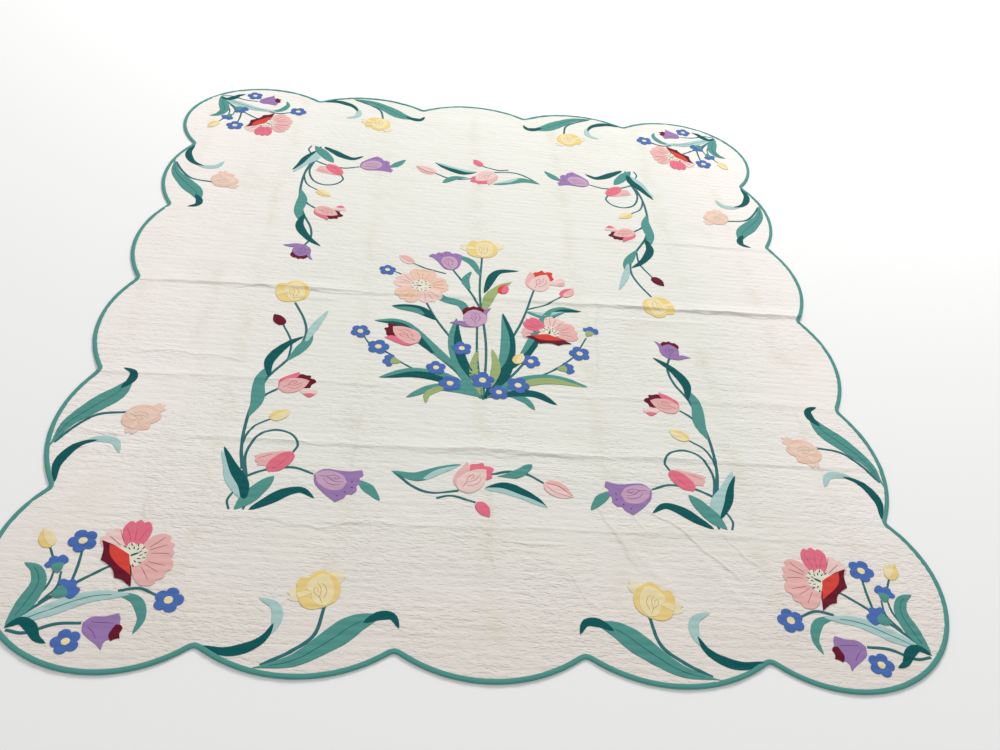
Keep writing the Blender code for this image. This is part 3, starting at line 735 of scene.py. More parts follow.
# %% Cut and lay the quilted sheet
UNDER_BINDING = 0.003     # the sheet's edge, inside the outer edge of the binding
STEP_ACROSS = 0.0125
STEP_ALONG = PITCH / 4
FLOOR_GAP = 0.0003
LEAST_THICK = 0.0018
HALF_ROWS = 230           # rows of points from the middle, to just past either end

cut_edge = inset(EDGE, UNDER_BINDING)
columns = np.arange(-1.0, 1.0, STEP_ACROSS)
rows = np.arange(-HALF_ROWS, HALF_ROWS + 1) * STEP_ALONG
inner = np.stack(np.meshgrid(columns, rows), axis=-1).reshape(-1, 2)
flat, triangles = filled(cut_edge, np.vstack((inner, crest_points(columns))))
top = laid_top(flat[:, 0], flat[:, 1])
under = FLOOR_GAP + lift(flat[:, 0], flat[:, 1])
top = np.maximum(top, under + LEAST_THICK)
highest = round(float(top.max()) * 1000, 1)
print("quilted sheet:", len(triangles), "triangles on top, up to", highest, "mm high")

# %% A plainer underside
# The underside only follows the large folds, so it gets a coarse fill of its own, and shares the edge.
COARSE_STEP = 0.04
coarse = np.stack(np.meshgrid(np.arange(-1.0, 1.0, COARSE_STEP), rows[::2]), axis=-1).reshape(-1, 2)
low_flat, low_triangles = filled(cut_edge, coarse)


def joined_sheet(flat, triangles, top, low_flat, low_triangles, low):
    """A closed sheet whose top and bottom have fills of their own on the same cut edge."""
    count = len(flat)
    points = np.vstack((np.column_stack((flat, top)), np.column_stack((low_flat, low))))
    key = {tuple(np.round(p, 6)): k + count for k, p in enumerate(low_flat)}
    wall = [
        (b, a, key[tuple(np.round(flat[a], 6))], key[tuple(np.round(flat[b], 6))])
        for a, b in open_edges(triangles).tolist()
    ]
    return points, triangles.tolist() + (low_triangles[:, ::-1] + count).tolist() + wall


low = FLOOR_GAP + lift(low_flat[:, 0], low_flat[:, 1])
quilted_sheet = cloth_piece(
    "quilted_sheet",
    *joined_sheet(flat, triangles, top, low_flat, low_triangles, low),
    [ground_cotton],
)
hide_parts("quilt")
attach(quilted_sheet, "root")
print("quilted sheet with its underside:", len(quilted_sheet.data.polygons), "faces")

# %% [markdown]
# ## The binding
# The binding is one long strip, folded in half over the cut edge and sewn down on both sides. At each
# valley the maker eased it round a tight bend. It could be a curve with a bevel, but a bevel folds over
# itself in such a bend. Sweeping a drawn section along inset outlines keeps it clean, and a little
# random swelling along the way gives the small puckers of a strip sewn round a curve.

# %% Sweep the binding's section round the edge
BIND_WIDTH = 0.0104
BIND_TOP = 0.0051
# Depth in from the edge and height, from the under arm round the outside to the hem of the upper arm.
BIND_SECTION = (
    (BIND_WIDTH, 0.0003), (0.0020, 0.0), (0.0005, 0.0006), (0.0, 0.0018), (0.0, 0.0034),
    (0.0008, 0.0047), (0.0026, BIND_TOP), (0.0052, BIND_TOP + 0.0001), (0.0082, BIND_TOP - 0.0001),
    (0.0100, BIND_TOP - 0.0005), (BIND_WIDTH, 0.0040), (BIND_WIDTH - 0.0008, 0.0034),
    (0.0024, 0.0036), (0.0024, 0.0012), (BIND_WIDTH, 0.0012),
)
SWELLS = (0.10, 0.014, 21), (0.06, 0.05, 22)   # share, length and seed of each kind of swelling


def make_binding():
    """The folded strip all round the edge."""
    travelled = np.concatenate(((0,), np.cumsum(np.linalg.norm(np.diff(EDGE, axis=0), axis=1))))
    swell = np.ones(len(EDGE))
    for share, length, seed in SWELLS:
        swell += share * soft_noise(travelled, travelled * 0, length, 1.0, seed)
    rings = []
    for depth, height in BIND_SECTION:
        ring = inset(EDGE, depth)
        raised = height * (swell if height > THICK else 1.0)
        rings.append(np.column_stack((ring, raised + lift(ring[:, 0], ring[:, 1]))))
    points = np.vstack(rings)
    count = len(EDGE)
    here = np.arange(count)
    ahead = (here + 1) % count
    faces = []
    for k in range(len(rings)):
        low, high = k * count, (k + 1) % len(rings) * count
        faces += np.column_stack((low + here, low + ahead, high + ahead, high + here)).tolist()
    return cloth_piece("bound_edge", points, faces, [cloths["leaf_green"]])


bound_edge = make_binding()
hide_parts("binding")
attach(bound_edge, "root")
print("bound edge:", len(bound_edge.data.polygons), "faces")

# %% [markdown]
# ## Cutting and sewing on a patch
# An applied patch is cut with a small allowance, which is turned under with the needle as it is sewn. The
# edge is therefore slightly rounded and pressed down, and the quilting draws the patch in with the ground.
# Each patch is a smooth outline, a row of points just inside the edge and a grid in the middle that keeps
# step with the quilting rows. A patch that overlaps another lies one level higher.

# %% Smooth outlines from a few given points
Patch = namedtuple("Patch", "outline cloth level")
CUT_STEP = 0.0032


def eased(points, step=CUT_STEP):
    """A smooth line through the given points, with a point every few millimetres."""
    points = np.asarray(points, float)
    padded = np.vstack((2 * points[0] - points[1], points, 2 * points[-1] - points[-2]))
    line = []
    for a, b, c, d in zip(padded[:-3], padded[1:-2], padded[2:-1], padded[3:]):
        steps = max(2, round(float(np.linalg.norm(c - b)) / step))
        t = np.arange(steps)[:, None] / steps
        square_part = (2 * a - 5 * b + 4 * c - d) * t ** 2
        cube_part = (3 * b - a - 3 * c + d) * t ** 3
        line.append(0.5 * (2 * b + (c - a) * t + square_part + cube_part))
    return np.vstack(line + [points[-1:]])


def joined(*sides):
    """A closed outline of smooth sides, with a corner where two of them meet."""
    return np.vstack([eased(side)[:-1] for side in sides])


def drawn(points, base, heading, size):
    """Unit-sized points turned to a heading and put at a base. The second axis lies to the left."""
    turn = math.radians(heading)
    forward = np.array((math.cos(turn), math.sin(turn)))
    points = np.asarray(points, float)
    return np.asarray(base) + size * (points[:, :1] * forward + points[:, 1:] * to_the_left(forward))


print("a smooth line through three points has", len(eased([(0.0, 0.0), (0.05, 0.02), (0.1, 0.0)])), "points")


# %% Which points lie inside an outline
def edge_distance(outline, points):
    """How far each point lies inside an outline, and less than zero outside it."""
    a, b = outline, np.roll(outline, -1, axis=0)
    run = b - a
    off = points[:, None, :] - a[None]
    share = np.clip(np.sum(off * run, axis=2) / np.maximum(np.sum(run * run, axis=1), 1e-12), 0, 1)
    far = np.linalg.norm(off - share[..., None] * run, axis=2).min(axis=1)
    above = (a[None, :, 1] > points[:, None, 1]) != (b[None, :, 1] > points[:, None, 1])
    rise = np.where(run[:, 1] == 0, 1e-12, run[:, 1])
    crossing = a[None, :, 0] + (points[:, None, 1] - a[None, :, 1]) * run[:, 0] / rise > points[:, None, 0]
    return np.where(np.sum(above & crossing, axis=1) % 2 == 1, far, -far)


print("the middle of a square lies inside by", edge_distance(square, np.array([(0.5, 0.5)]))[0])

# %% Lay a patch on the quilt
TURNED_EDGE = 0.0011      # how wide the rounding of a turned edge is
EDGE_DROP = 0.00009       # how far the edge is pressed down, and twice that on the ground itself
PATCH_RISE = 0.00034
LEVEL_RISE = 0.00023
PATCH_GRID = (0.0080, PITCH / 8)
RING_LEAST, GRID_LEAST = 0.8, 2.4   # how far inside the edge points are kept, in turned edges
PATCH_DRAWN_IN = 0.85     # a patch is a second cloth, so the quilting draws it in less
PATCH_THICK, LEVEL_THICK = 0.8, 0.3


def cut_at_crests(outline):
    """The outline with one more point wherever it crosses a row of points beside a crest."""
    places, points = [np.arange(len(outline))], [outline]
    for k in range(len(FOLDS_ACROSS)):
        for row in CREST_ROWS:
            off = outline[:, 1] - crest_of(k, outline[:, 0]) - row
            next_off = np.roll(off, -1)
            here = np.flatnonzero(off * next_off < 0)
            share = off[here] / (off[here] - next_off[here])
            places.append(here + share)
            points.append(outline[here] + share[:, None] * (np.roll(outline, -1, axis=0) - outline)[here])
    return np.vstack(points)[np.argsort(np.concatenate(places))]


def patch_sheet(patch, nudge):
    """Points and faces of one patch, lying on the quilt at its level."""
    outline = patch.outline if signed_area(patch.outline) > 0 else patch.outline[::-1]
    ring = inset(outline, TURNED_EDGE)
    ring = ring[edge_distance(outline, ring) > RING_LEAST * TURNED_EDGE]
    low, high = outline.min(axis=0), outline.max(axis=0)
    columns, rows = (
        np.arange(math.floor(start / step), math.ceil(end / step)) * step
        for start, end, step in zip(low, high, PATCH_GRID)
    )
    grid = np.stack(np.meshgrid(columns, rows), axis=-1).reshape(-1, 2)
    crests = crest_points(columns)
    grid = np.vstack((grid, crests[(crests[:, 1] > low[1]) & (crests[:, 1] < high[1])]))
    grid = grid[edge_distance(outline, grid) > GRID_LEAST * TURNED_EDGE]
    flat, triangles = filled(cut_at_crests(outline), np.vstack((ring, grid)))
    inside = np.clip(edge_distance(outline, flat) / TURNED_EDGE, 0, 1)
    rise = PATCH_RISE + LEVEL_RISE * patch.level + nudge
    drop = EDGE_DROP if patch.level else 2 * EDGE_DROP
    lying = laid_top(flat[:, 0], flat[:, 1], drawn_in=PATCH_DRAWN_IN)
    top = lying + rise - drop * (1 - np.sin(inside * math.pi / 2))
    thick = PATCH_THICK * (PATCH_RISE + LEVEL_THICK * LEVEL_RISE * patch.level)
    return closed_sheet(flat, triangles, top, top - thick)


print("patches stand", PATCH_RISE * 1000, "mm proud, and", LEVEL_RISE * 1000, "mm more for each level")
test_outline = joined(*(0.05 * np.array(side) for side in zip(square, np.roll(square, -1, axis=0))))
print("a patch of 5 by 5 cm has", len(patch_sheet(Patch(test_outline, "cream", 0), 0.0)[1]), "faces")

# %% Sew patches on as one piece
APART = 0.000006          # keeps two patches of one level from sharing a face


def sew(name, patches, node=None):
    """One piece of the quilt from its patches, standing for its CAD solid."""
    used = sorted({patch.cloth for patch in patches})
    points, faces, which = [], [], []
    start = 0
    for k, patch in enumerate(patches):
        more, more_faces = patch_sheet(patch, APART * (k % 9))
        points.append(more)
        faces += [[corner + start for corner in face] for face in more_faces]
        which += [used.index(patch.cloth)] * len(more_faces)
        start += len(more)
    piece = cloth_piece(name, np.vstack(points), faces, [cloths[cloth] for cloth in used], which)
    if node:
        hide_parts(node)
    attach(piece, "root")
    return piece


# %% [markdown]
# ## Stems and leaves
# Stems are narrow strips cut on the bias, so that they can follow a curve. Leaves are long straps that
# bend with the wind. Many of them turn over: the maker pieced in a darker or a paler cloth where the
# underside shows, at the tip or all along one side. A line of stitching follows the middle of the big
# ones as a vein.


# %% Strips, stems and threads
THREAD_STEP = 0.006


def strip(route, widths, cloth, level, step=CUT_STEP):
    """A strip along a smooth route. Its widths are spread evenly from its first point to its last."""
    line = eased(route, step)
    ahead = unit(np.gradient(line, axis=0))
    shares = np.linspace(0, 1, len(line))
    half = np.interp(shares, np.linspace(0, 1, len(widths)), widths)[:, None] / 2
    side = to_the_left(ahead) * half
    return Patch(np.vstack((line - side, (line + side)[::-1])), cloth, level)


def stem(*route, width=0.0065, level=0):
    """A narrow strip cut on the bias."""
    return strip(route, (width, width * 1.1, width * 0.9), "stem_teal", level)


def thread(points, base, heading, size, cloth="dark_thread", level=7, width=0.0013):
    """One line of embroidery, drawn in a flower's own unit size."""
    widths = (width * 0.7, width, width * 0.6)
    return strip(drawn(points, base, heading, size), widths, cloth, level, THREAD_STEP)


print("a short stem has", len(stem((0.0, 0.0), (0.05, 0.01), (0.1, 0.0)).outline), "points")

# %% Leaves, plain and turned over
LEAF_STEP = 0.0065
LEAF_SWELL = 0.7          # a lower power is fuller near the ends
TURN_REACH = 1.25         # how far across the leaf the turned side comes, in half widths
TURN_OVERLAP = 1.02       # the turned side reaches just past the edge, in half widths
WAVINESS = 0.06
VEIN_START, VEIN_END = 0.12, 0.86
VEIN_WIDTHS = (0.0009, 0.0014, 0.0009)


def leaf(
    *route, width, cloth="leaf_green", fullest=0.45, level=1, turned=None, side=1, start=0.0, vein=None,
):
    """A strap leaf along a route. turned names the cloth of the underside that shows along one side."""
    line = eased(route, LEAF_STEP)
    run = np.concatenate(((0,), np.cumsum(np.linalg.norm(np.diff(line, axis=0), axis=1))))
    shares = run / run[-1]
    left = to_the_left(unit(np.gradient(line, axis=0)))
    half = width / 2 * np.sin(np.pi * shares ** (math.log(0.5) / math.log(fullest))) ** LEAF_SWELL
    half = (half * (1 + WAVINESS * np.sin(11 * shares + 130 * width)))[:, None]
    whole = np.vstack(((line - left * half)[:-1], (line + left * half)[:0:-1]))
    patches = [Patch(whole, cloth, level)]
    if turned:
        share = np.clip((shares - start) / (1 - start), 0, 1)[:, None]
        inner = line + side * left * half * (1.0 - TURN_REACH * np.sin(np.pi * share) ** 0.5)
        outer = line + side * left * half * TURN_OVERLAP
        inner, outer = inner[shares >= start], outer[shares >= start]
        patches.append(Patch(np.vstack((inner[:-1], outer[:0:-1])), turned, level + 1))
    if vein:
        inner_part = (shares > VEIN_START) & (shares < VEIN_END)
        patches.append(strip(line[inner_part][::3], VEIN_WIDTHS, vein, level + 2))
    return patches


test_leaf = leaf((0, 0), (0.1, 0.02), (0.2, 0), width=0.03, vein="stem_teal")
print("a veined leaf has", len(test_leaf), "patches")

# %% [markdown]
# ## The flowers
# The flowers are ordinary garden ones: tulips seen from the side, open blooms, small blue flowers and
# buds. Each is built up from the back: petals first, then the petal in front, then lines of embroidery
# for veins and stamens. A flower is drawn once in a unit size, from its base at (0, 0) to its tip at
# (1, 0), and then turned, scaled and placed. No two petals of a hand-cut flower match, so each side of
# the drawings goes its own way.

# %% Helpers for flowers
CURLS = (
    ((0.12, 0.01), (0.30, 0.04), (0.50, -0.03), (0.72, 0.02)),
    ((0.30, 0.05), (0.44, 0.14), (0.58, 0.11), (0.52, 0.04), (0.44, 0.06)),
    ((0.24, -0.04), (0.40, -0.14), (0.58, -0.13), (0.66, -0.06)),
)


def shape(sides, base, heading, size, cloth, level):
    """A patch from sides drawn in a flower's own unit size."""
    return Patch(joined(*(drawn(side, base, heading, size) for side in sides)), cloth, level)


def curls(base, heading, size, cloth, level):
    """The curled lines that are embroidered on a front petal."""
    return [thread(line, base, heading, size, cloth, level) for line in CURLS]


TEST_PLACE = ((0.0, 0.0), 0, 0.1)   # base, heading and size of the flowers that the next cells count
print("curled lines on a petal:", len(curls(*TEST_PLACE, "rose_thread", 1)))

# %% Tulips with a dark back petal
FLAME_FRONT = (
    ((0.0, 0.0), (0.12, 0.22), (0.42, 0.28), (0.72, 0.19), (0.92, 0.02)),
    ((0.92, 0.02), (0.72, -0.17), (0.40, -0.29), (0.12, -0.22), (0.0, 0.0)),
)
FLAME_SIDE = (
    ((0.0, 0.02), (0.10, 0.29), (0.34, 0.42), (0.76, 0.50)),
    ((0.76, 0.50), (0.68, 0.32), (0.40, 0.16), (0.0, 0.02)),
)
FLAME_BACK = (
    ((0.46, 0.16), (0.60, 0.34), (0.78, 0.38), (0.90, 0.29)),
    ((0.90, 0.29), (1.02, 0.23), (0.98, 0.13), (1.07, 0.05)),
    ((1.07, 0.05), (1.09, -0.07), (0.95, -0.13), (0.86, -0.24)),
    ((0.86, -0.24), (0.72, -0.21), (0.60, -0.10), (0.46, 0.16)),
)
FLAME_FLARE = (
    ((0.50, -0.20), (0.74, -0.25), (1.04, -0.38)),
    ((1.04, -0.38), (0.98, -0.52), (0.74, -0.60)),
    ((0.74, -0.60), (0.60, -0.42), (0.50, -0.20)),
)
FLARE_SHADE = (
    ((0.60, -0.42), (0.78, -0.46), (0.92, -0.54)),
    ((0.92, -0.54), (0.78, -0.62), (0.68, -0.58), (0.60, -0.42)),
)


def flame_tulip(base, heading, size, front, side, back, flare=None, level=2):
    """A narrow front petal, a pointed one beside it and a ragged one at the back."""
    patches = [
        shape(FLAME_BACK, base, heading, size, back, level),
        shape(FLAME_SIDE, base, heading, size, side, level + 1),
        shape(FLAME_FRONT, base, heading, size, front, level + 2),
    ]
    if flare:
        patches.append(shape(FLAME_FLARE, base, heading, size, flare, level))
        patches.append(shape(FLARE_SHADE, base, heading, size, side, level + 1))
    return patches + curls(base, heading, size, "rose_thread", level + 3)


print("a flame tulip has", len(flame_tulip(*TEST_PLACE, "blush", "pink", "maroon", "blush")), "patches")

# %% Bell tulips
BELL_CUP = (
    ((0.0, 0.0), (0.08, 0.16), (0.24, 0.27), (0.68, 0.35), (0.96, 0.52)),
    ((0.96, 0.52), (1.05, 0.36), (1.0, 0.26), (1.08, 0.14)),
    ((1.08, 0.14), (1.02, 0.02), (1.07, -0.12), (1.01, -0.26)),
    ((1.01, -0.26), (0.90, -0.30), (0.88, -0.42), (0.74, -0.58)),
    ((0.74, -0.58), (0.45, -0.46), (0.13, -0.25), (0.0, 0.0)),
)
BELL_FRONT = (
    ((0.03, 0.0), (0.10, 0.14), (0.34, 0.23), (0.60, 0.20), (0.78, 0.04)),
    ((0.78, 0.04), (0.74, -0.20), (0.50, -0.31), (0.20, -0.22), (0.03, 0.0)),
)
OPEN_CUP = (
    ((0.0, 0.0), (0.08, 0.18), (0.22, 0.29), (0.50, 0.38), (0.80, 0.58)),
    ((0.80, 0.58), (0.92, 0.44), (0.98, 0.30), (1.09, 0.16)),
    ((1.09, 0.16), (1.03, 0.02), (1.05, -0.12), (0.97, -0.26)),
    ((0.97, -0.26), (0.88, -0.36), (0.88, -0.48), (0.92, -0.64)),
    ((0.92, -0.64), (0.68, -0.51), (0.38, -0.40), (0.12, -0.25), (0.0, 0.0)),
)
BELL_LINING = (
    ((0.90, 0.22), (1.05, 0.24), (1.14, 0.16)),
    ((1.14, 0.16), (1.14, -0.02), (1.22, -0.14)),
    ((1.22, -0.14), (1.10, -0.21), (1.03, -0.31)),
    ((1.03, -0.31), (0.92, -0.22), (0.86, -0.06), (0.90, 0.22)),
)
BELL_CURLS = ((0.20, 0.10), (0.50, 0.16), (0.82, 0.24)), ((0.20, -0.08), (0.44, -0.20), (0.60, -0.36))
BELL_DOTS = (0.88, 0.10), (0.94, -0.06), (0.84, -0.24), (0.72, -0.40)
DOT_WIDTH = 0.0026


def bell_tulip(base, heading, size, cup, front=None, lining=None, level=2):
    """One wide cup with a ragged rim. Its front petal or its lining may be of another cloth."""
    patches = [shape(OPEN_CUP if lining else BELL_CUP, base, heading, size, cup, level)]
    if lining:
        patches.append(shape(BELL_LINING, base, heading, size, lining, level + 1))
        patches += [thread(line, base, heading, size, "plum_thread", level + 1) for line in BELL_CURLS]
    if front:
        patches.append(shape(BELL_FRONT, base, heading, size, front, level + 1))
        patches += curls(base, heading, size, "plum_thread", level + 2)
        for u, v in BELL_DOTS:
            dot = ((u - 0.02, v), (u + 0.02, v - 0.01))
            patches.append(thread(dot, base, heading, size, "dark_thread", level + 1, DOT_WIDTH))
    return patches


print("a bell tulip has", len(bell_tulip(*TEST_PLACE, "purple", front="lilac")), "patches")

# %% Goblet tulips
GOBLET_CUP = (
    ((0.0, 0.0), (0.05, 0.24), (0.28, 0.36), (0.58, 0.35), (0.76, 0.20)),
    ((0.76, 0.20), (0.85, 0.0), (0.76, -0.20)),
    ((0.76, -0.20), (0.50, -0.36), (0.20, -0.28), (0.0, 0.0)),
)
GOBLET_BACK = (
    ((0.46, 0.30), (0.80, 0.37), (0.98, 0.22)),
    ((0.98, 0.22), (0.97, 0.10), (1.04, 0.0)),
    ((1.04, 0.0), (0.98, -0.10), (0.98, -0.22)),
    ((0.98, -0.22), (0.78, -0.35), (0.46, -0.28)),
    ((0.46, -0.28), (0.46, 0.30)),
)
GOBLET_HORNS = (
    (
        ((0.06, -0.10), (0.34, -0.34), (0.66, -0.40), (0.94, -0.56)),
        ((0.94, -0.56), (0.86, -0.38), (0.62, -0.24), (0.06, -0.10)),
    ),
    (
        ((0.0, 0.06), (0.02, 0.36), (0.14, 0.60), (0.24, 0.82)),
        ((0.24, 0.82), (0.30, 0.60), (0.28, 0.38), (0.0, 0.06)),
    ),
)


def goblet_tulip(base, heading, size, cup, front, back, level=2):
    """A round cup between two thin flared tips, with a dark petal behind it."""
    patches = [shape(GOBLET_BACK, base, heading, size, back, level)]
    patches += [shape(horn, base, heading, size, cup, level + 1) for horn in GOBLET_HORNS]
    patches.append(shape(GOBLET_CUP, base, heading, size, front, level + 2))
    return patches + curls(base, heading, size, "plum_thread", level + 3)


print("a goblet tulip has", len(goblet_tulip(*TEST_PLACE, "purple", "lilac", "maroon")), "patches")

# %% Round tulips
ROUND_BODY = (
    ((0.0, 0.0), (0.02, 0.28), (0.16, 0.47), (0.45, 0.54), (0.77, 0.50)),
    ((0.77, 0.50), (0.92, 0.38), (0.88, 0.18)),
    ((0.88, 0.18), (1.0, 0.04), (1.02, -0.16), (0.90, -0.30)),
    ((0.90, -0.30), (0.70, -0.44), (0.40, -0.46), (0.12, -0.30), (0.0, 0.0)),
)
ROUND_FRONT = (
    ((0.03, -0.04), (0.20, -0.24), (0.50, -0.32), (0.84, -0.26)),
    ((0.84, -0.26), (0.90, -0.08), (0.80, 0.18)),
    ((0.80, 0.18), (0.62, 0.30), (0.44, 0.20)),
    ((0.44, 0.20), (0.28, 0.22), (0.10, 0.14), (0.03, -0.04)),
)
ROUND_BAND = (
    ((0.46, 0.16), (0.54, 0.36), (0.52, 0.555)),
    ((0.52, 0.555), (0.44, 0.53), (0.37, 0.535)),
    ((0.37, 0.535), (0.40, 0.34), (0.46, 0.16)),
)
ROUND_FLARES = (
    (
        ((0.54, -0.40), (0.62, -0.56), (0.74, -0.66)),
        ((0.74, -0.66), (0.78, -0.60), (0.90, -0.66)),
        ((0.90, -0.66), (0.90, -0.54), (1.0, -0.46)),
        ((1.0, -0.46), (0.92, -0.34), (0.80, -0.28), (0.54, -0.40)),
    ),
    (
        ((0.70, 0.46), (0.68, 0.62), (0.58, 0.74)),
        ((0.58, 0.74), (0.50, 0.68), (0.42, 0.76)),
        ((0.42, 0.76), (0.34, 0.66), (0.28, 0.50)),
        ((0.28, 0.50), (0.70, 0.46)),
    ),
)


def round_tulip(base, heading, size, body, front, veins="gold_thread", flares=None, level=2):
    """A tulip nearly as round as a ball, with a paler petal in front and perhaps two loose ones."""
    patches = []
    if flares:
        patches += [shape(flare, base, heading, size, flares, level) for flare in ROUND_FLARES]
    patches.append(shape(ROUND_BODY, base, heading, size, body, level + 1))
    patches.append(shape(ROUND_FRONT, base, heading, size, front, level + 2))
    patches.append(shape(ROUND_BAND, base, heading, size, front, level + 2))
    return patches + curls(base, heading, size, veins, level + 3)


print("a round tulip has", len(round_tulip(*TEST_PLACE, "yellow", "pale_yellow", flares="straw")), "patches")

# %% Half-closed tulips and buds
CLOSED_PETAL = (
    ((0.0, 0.0), (0.10, 0.18), (0.40, 0.28), (0.76, 0.24), (0.99, 0.06)),
    ((0.99, 0.06), (0.94, -0.10), (0.70, -0.22), (0.34, -0.22), (0.08, -0.12), (0.0, 0.0)),
)
LOOSE_PETAL = (
    ((0.06, 0.0), (0.14, -0.22), (0.32, -0.36), (0.62, -0.58), (0.85, -0.69)),
    ((0.85, -0.69), (0.86, -0.60), (0.97, -0.52), (0.96, -0.44), (1.04, -0.36)),
    ((1.04, -0.36), (0.92, -0.22), (0.78, -0.06), (0.40, 0.0), (0.06, 0.0)),
)
BUD = (
    ((0.0, 0.0), (0.16, 0.24), (0.52, 0.30), (0.82, 0.16), (1.0, 0.02)),
    ((1.0, 0.02), (0.76, -0.20), (0.46, -0.28), (0.16, -0.22), (0.0, 0.0)),
)
BUD_STRIPE = (
    ((0.04, -0.04), (0.30, 0.08), (0.66, 0.08), (1.0, 0.02)),
    ((1.0, 0.02), (0.76, -0.20), (0.46, -0.27), (0.18, -0.21), (0.04, -0.04)),
)
CLOSED_FOLD = ((0.18, 0.04), (0.50, 0.08), (0.84, 0.04))
LOOSE_FOLD = ((0.46, -0.36), (0.64, -0.44), (0.84, -0.54))


def closed_tulip(base, heading, size, near, far, level=2):
    """A long oval petal over a loose one with a cut-off end."""
    return [
        shape(LOOSE_PETAL, base, heading, size, far, level),
        shape(CLOSED_PETAL, base, heading, size, near, level + 1),
        thread(CLOSED_FOLD, base, heading, size, "rose_thread", level + 2),
        thread(LOOSE_FOLD, base, heading, size, "rose_thread", level + 1),
    ]


def bud(base, heading, size, cloth, shade, level=2, veins=None):
    """A closed bud with a paler or darker stripe along one side."""
    patches = [
        shape(BUD, base, heading, size, cloth, level),
        shape(BUD_STRIPE, base, heading, size, shade, level + 1),
    ]
    for v in (-0.12, 0.14) if veins else ():
        line = ((0.10, v / 3), (0.46, v), (0.94, v / 5))
        patches.append(thread(line, base, heading, size, veins, level + 2))
    return patches


print("a veined bud has", len(bud(*TEST_PLACE, "pink", "pale_pink", veins="rose_thread")), "patches")

# %% Petals of an open bloom
PETAL = (
    ((0.10, 0.0), (0.24, 0.22), (0.54, 0.43), (0.82, 0.46), (0.99, 0.28), (0.94, 0.14)),
    ((0.94, 0.14), (1.03, 0.0), (0.95, -0.14)),
    ((0.95, -0.14), (0.97, -0.30), (0.78, -0.44), (0.52, -0.40), (0.24, -0.22), (0.10, 0.0)),
)
CUP_PETAL = (
    ((0.29, -0.84), (0.40, -0.58), (0.60, -0.34)),
    ((0.60, -0.34), (0.54, -0.10), (0.54, 0.12), (0.62, 0.32)),
    ((0.62, 0.32), (0.52, 0.50), (0.47, 0.80)),
    ((0.47, 0.80), (0.26, 0.46), (0.12, 0.10), (0.12, -0.40), (0.29, -0.84)),
)
CUP_LINING = (
    ((0.22, -0.62), (0.10, -0.34), (0.03, -0.05)),
    ((0.03, -0.05), (0.16, 0.22), (0.31, 0.50)),
    ((0.31, 0.50), (0.36, 0.20), (0.39, -0.08), (0.36, -0.36), (0.22, -0.62)),
)
# The turn of each petal round the middle, and its width in shares of the widest.
ROUND_PETALS = ((0, 1.0), (74, 1.0), (142, 1.0), (218, 1.0), (289, 1.0))
CUPPED_PETALS = ((-86, 0.70), (-131, 0.72), (-201, 0.92), (102, 1.0))
print("petals:", len(ROUND_PETALS), "all round, or", len(CUPPED_PETALS), "and a cup")

# %% Open blooms
STAMENS = 15
STAMEN_REACH = (0.36, 0.26)   # long and short ones in turn
STAMEN_WIDTH = 0.0024
PISTIL_WIDTH = 0.0052
PISTIL = ((0.02, 0.0), (-0.16, 0.05))
CUP_OPENING = (66, 266)   # between these turns a cup leaves the middle in sight
MIDDLE_RADIUS = 0.38
LONG_PETAL, SHORT_PETAL = 1.05, 0.98
PETAL_VEINS = (-0.16, 0.02, 0.17)


def scalloped_round(centre, heading, radius, petals, depth):
    """A round outline with soft scallops."""
    angles = np.arange(petals * 8) / (petals * 8) * 2 * math.pi
    reach = radius * (1 - 2 * depth * (1 - np.abs(np.cos(petals * angles / 2)) ** 0.7))
    turned = angles + math.radians(heading)
    return np.asarray(centre) + np.stack((reach * np.cos(turned), reach * np.sin(turned)), axis=-1)


def open_bloom(base, heading, size, petals, cup=(), veins="rose_thread", level=2):
    """Petals round a cream middle. A cup of two cloths may close one side of the bloom."""
    patches = []
    for k, ((turn, width), cloth) in enumerate(zip(CUPPED_PETALS if cup else ROUND_PETALS, petals)):
        turn = heading + turn
        petal = [[(u, v * width) for u, v in edge] for edge in PETAL]
        reach = size * (LONG_PETAL if k % 2 else SHORT_PETAL)
        patches.append(shape(petal, base, turn, reach, cloth, level + k % 2))
        for v in PETAL_VEINS:
            line = ((0.44, 0.6 * v), (0.62, v), (0.84, 1.6 * v))
            patches.append(thread(line, base, turn, size, veins, level + 2))
    middle = scalloped_round(base, heading, MIDDLE_RADIUS * size, 9, 0.10)
    patches.append(Patch(middle, "cream", level + 2))
    if cup:
        patches.append(shape(CUP_PETAL, base, heading, size, cup[0], level + 3))
        patches.append(shape(CUP_LINING, base, heading, size, cup[1], level + 4))
    turns = np.linspace(*CUP_OPENING, STAMENS) if cup else np.arange(STAMENS) * 360 / STAMENS
    for k, turn in enumerate(turns):
        reach = STAMEN_REACH[k % 2]
        dash = ((reach - 0.08, -0.01), (reach, 0.02))
        patches.append(thread(dash, base, heading + turn, size, "dark_thread", level + 3, STAMEN_WIDTH))
    return patches + [thread(PISTIL, base, heading, size, "dark_teal", level + 3, PISTIL_WIDTH)]


test_bloom = open_bloom(*TEST_PLACE, ["pink"] * 4, ("maroon", "red"))
print("an open bloom with a cup has", len(test_bloom), "patches")


# %% Small blue flowers
def blue_flower(centre, heading, radius=0.029, level=3):
    """Five round petals and a pale middle."""
    return [
        Patch(scalloped_round(centre, heading, radius, 5, 0.13), "blue", level),
        Patch(scalloped_round(centre, 0, radius * 0.30, 7, 0.03), "pale_yellow", level + 1),
    ]


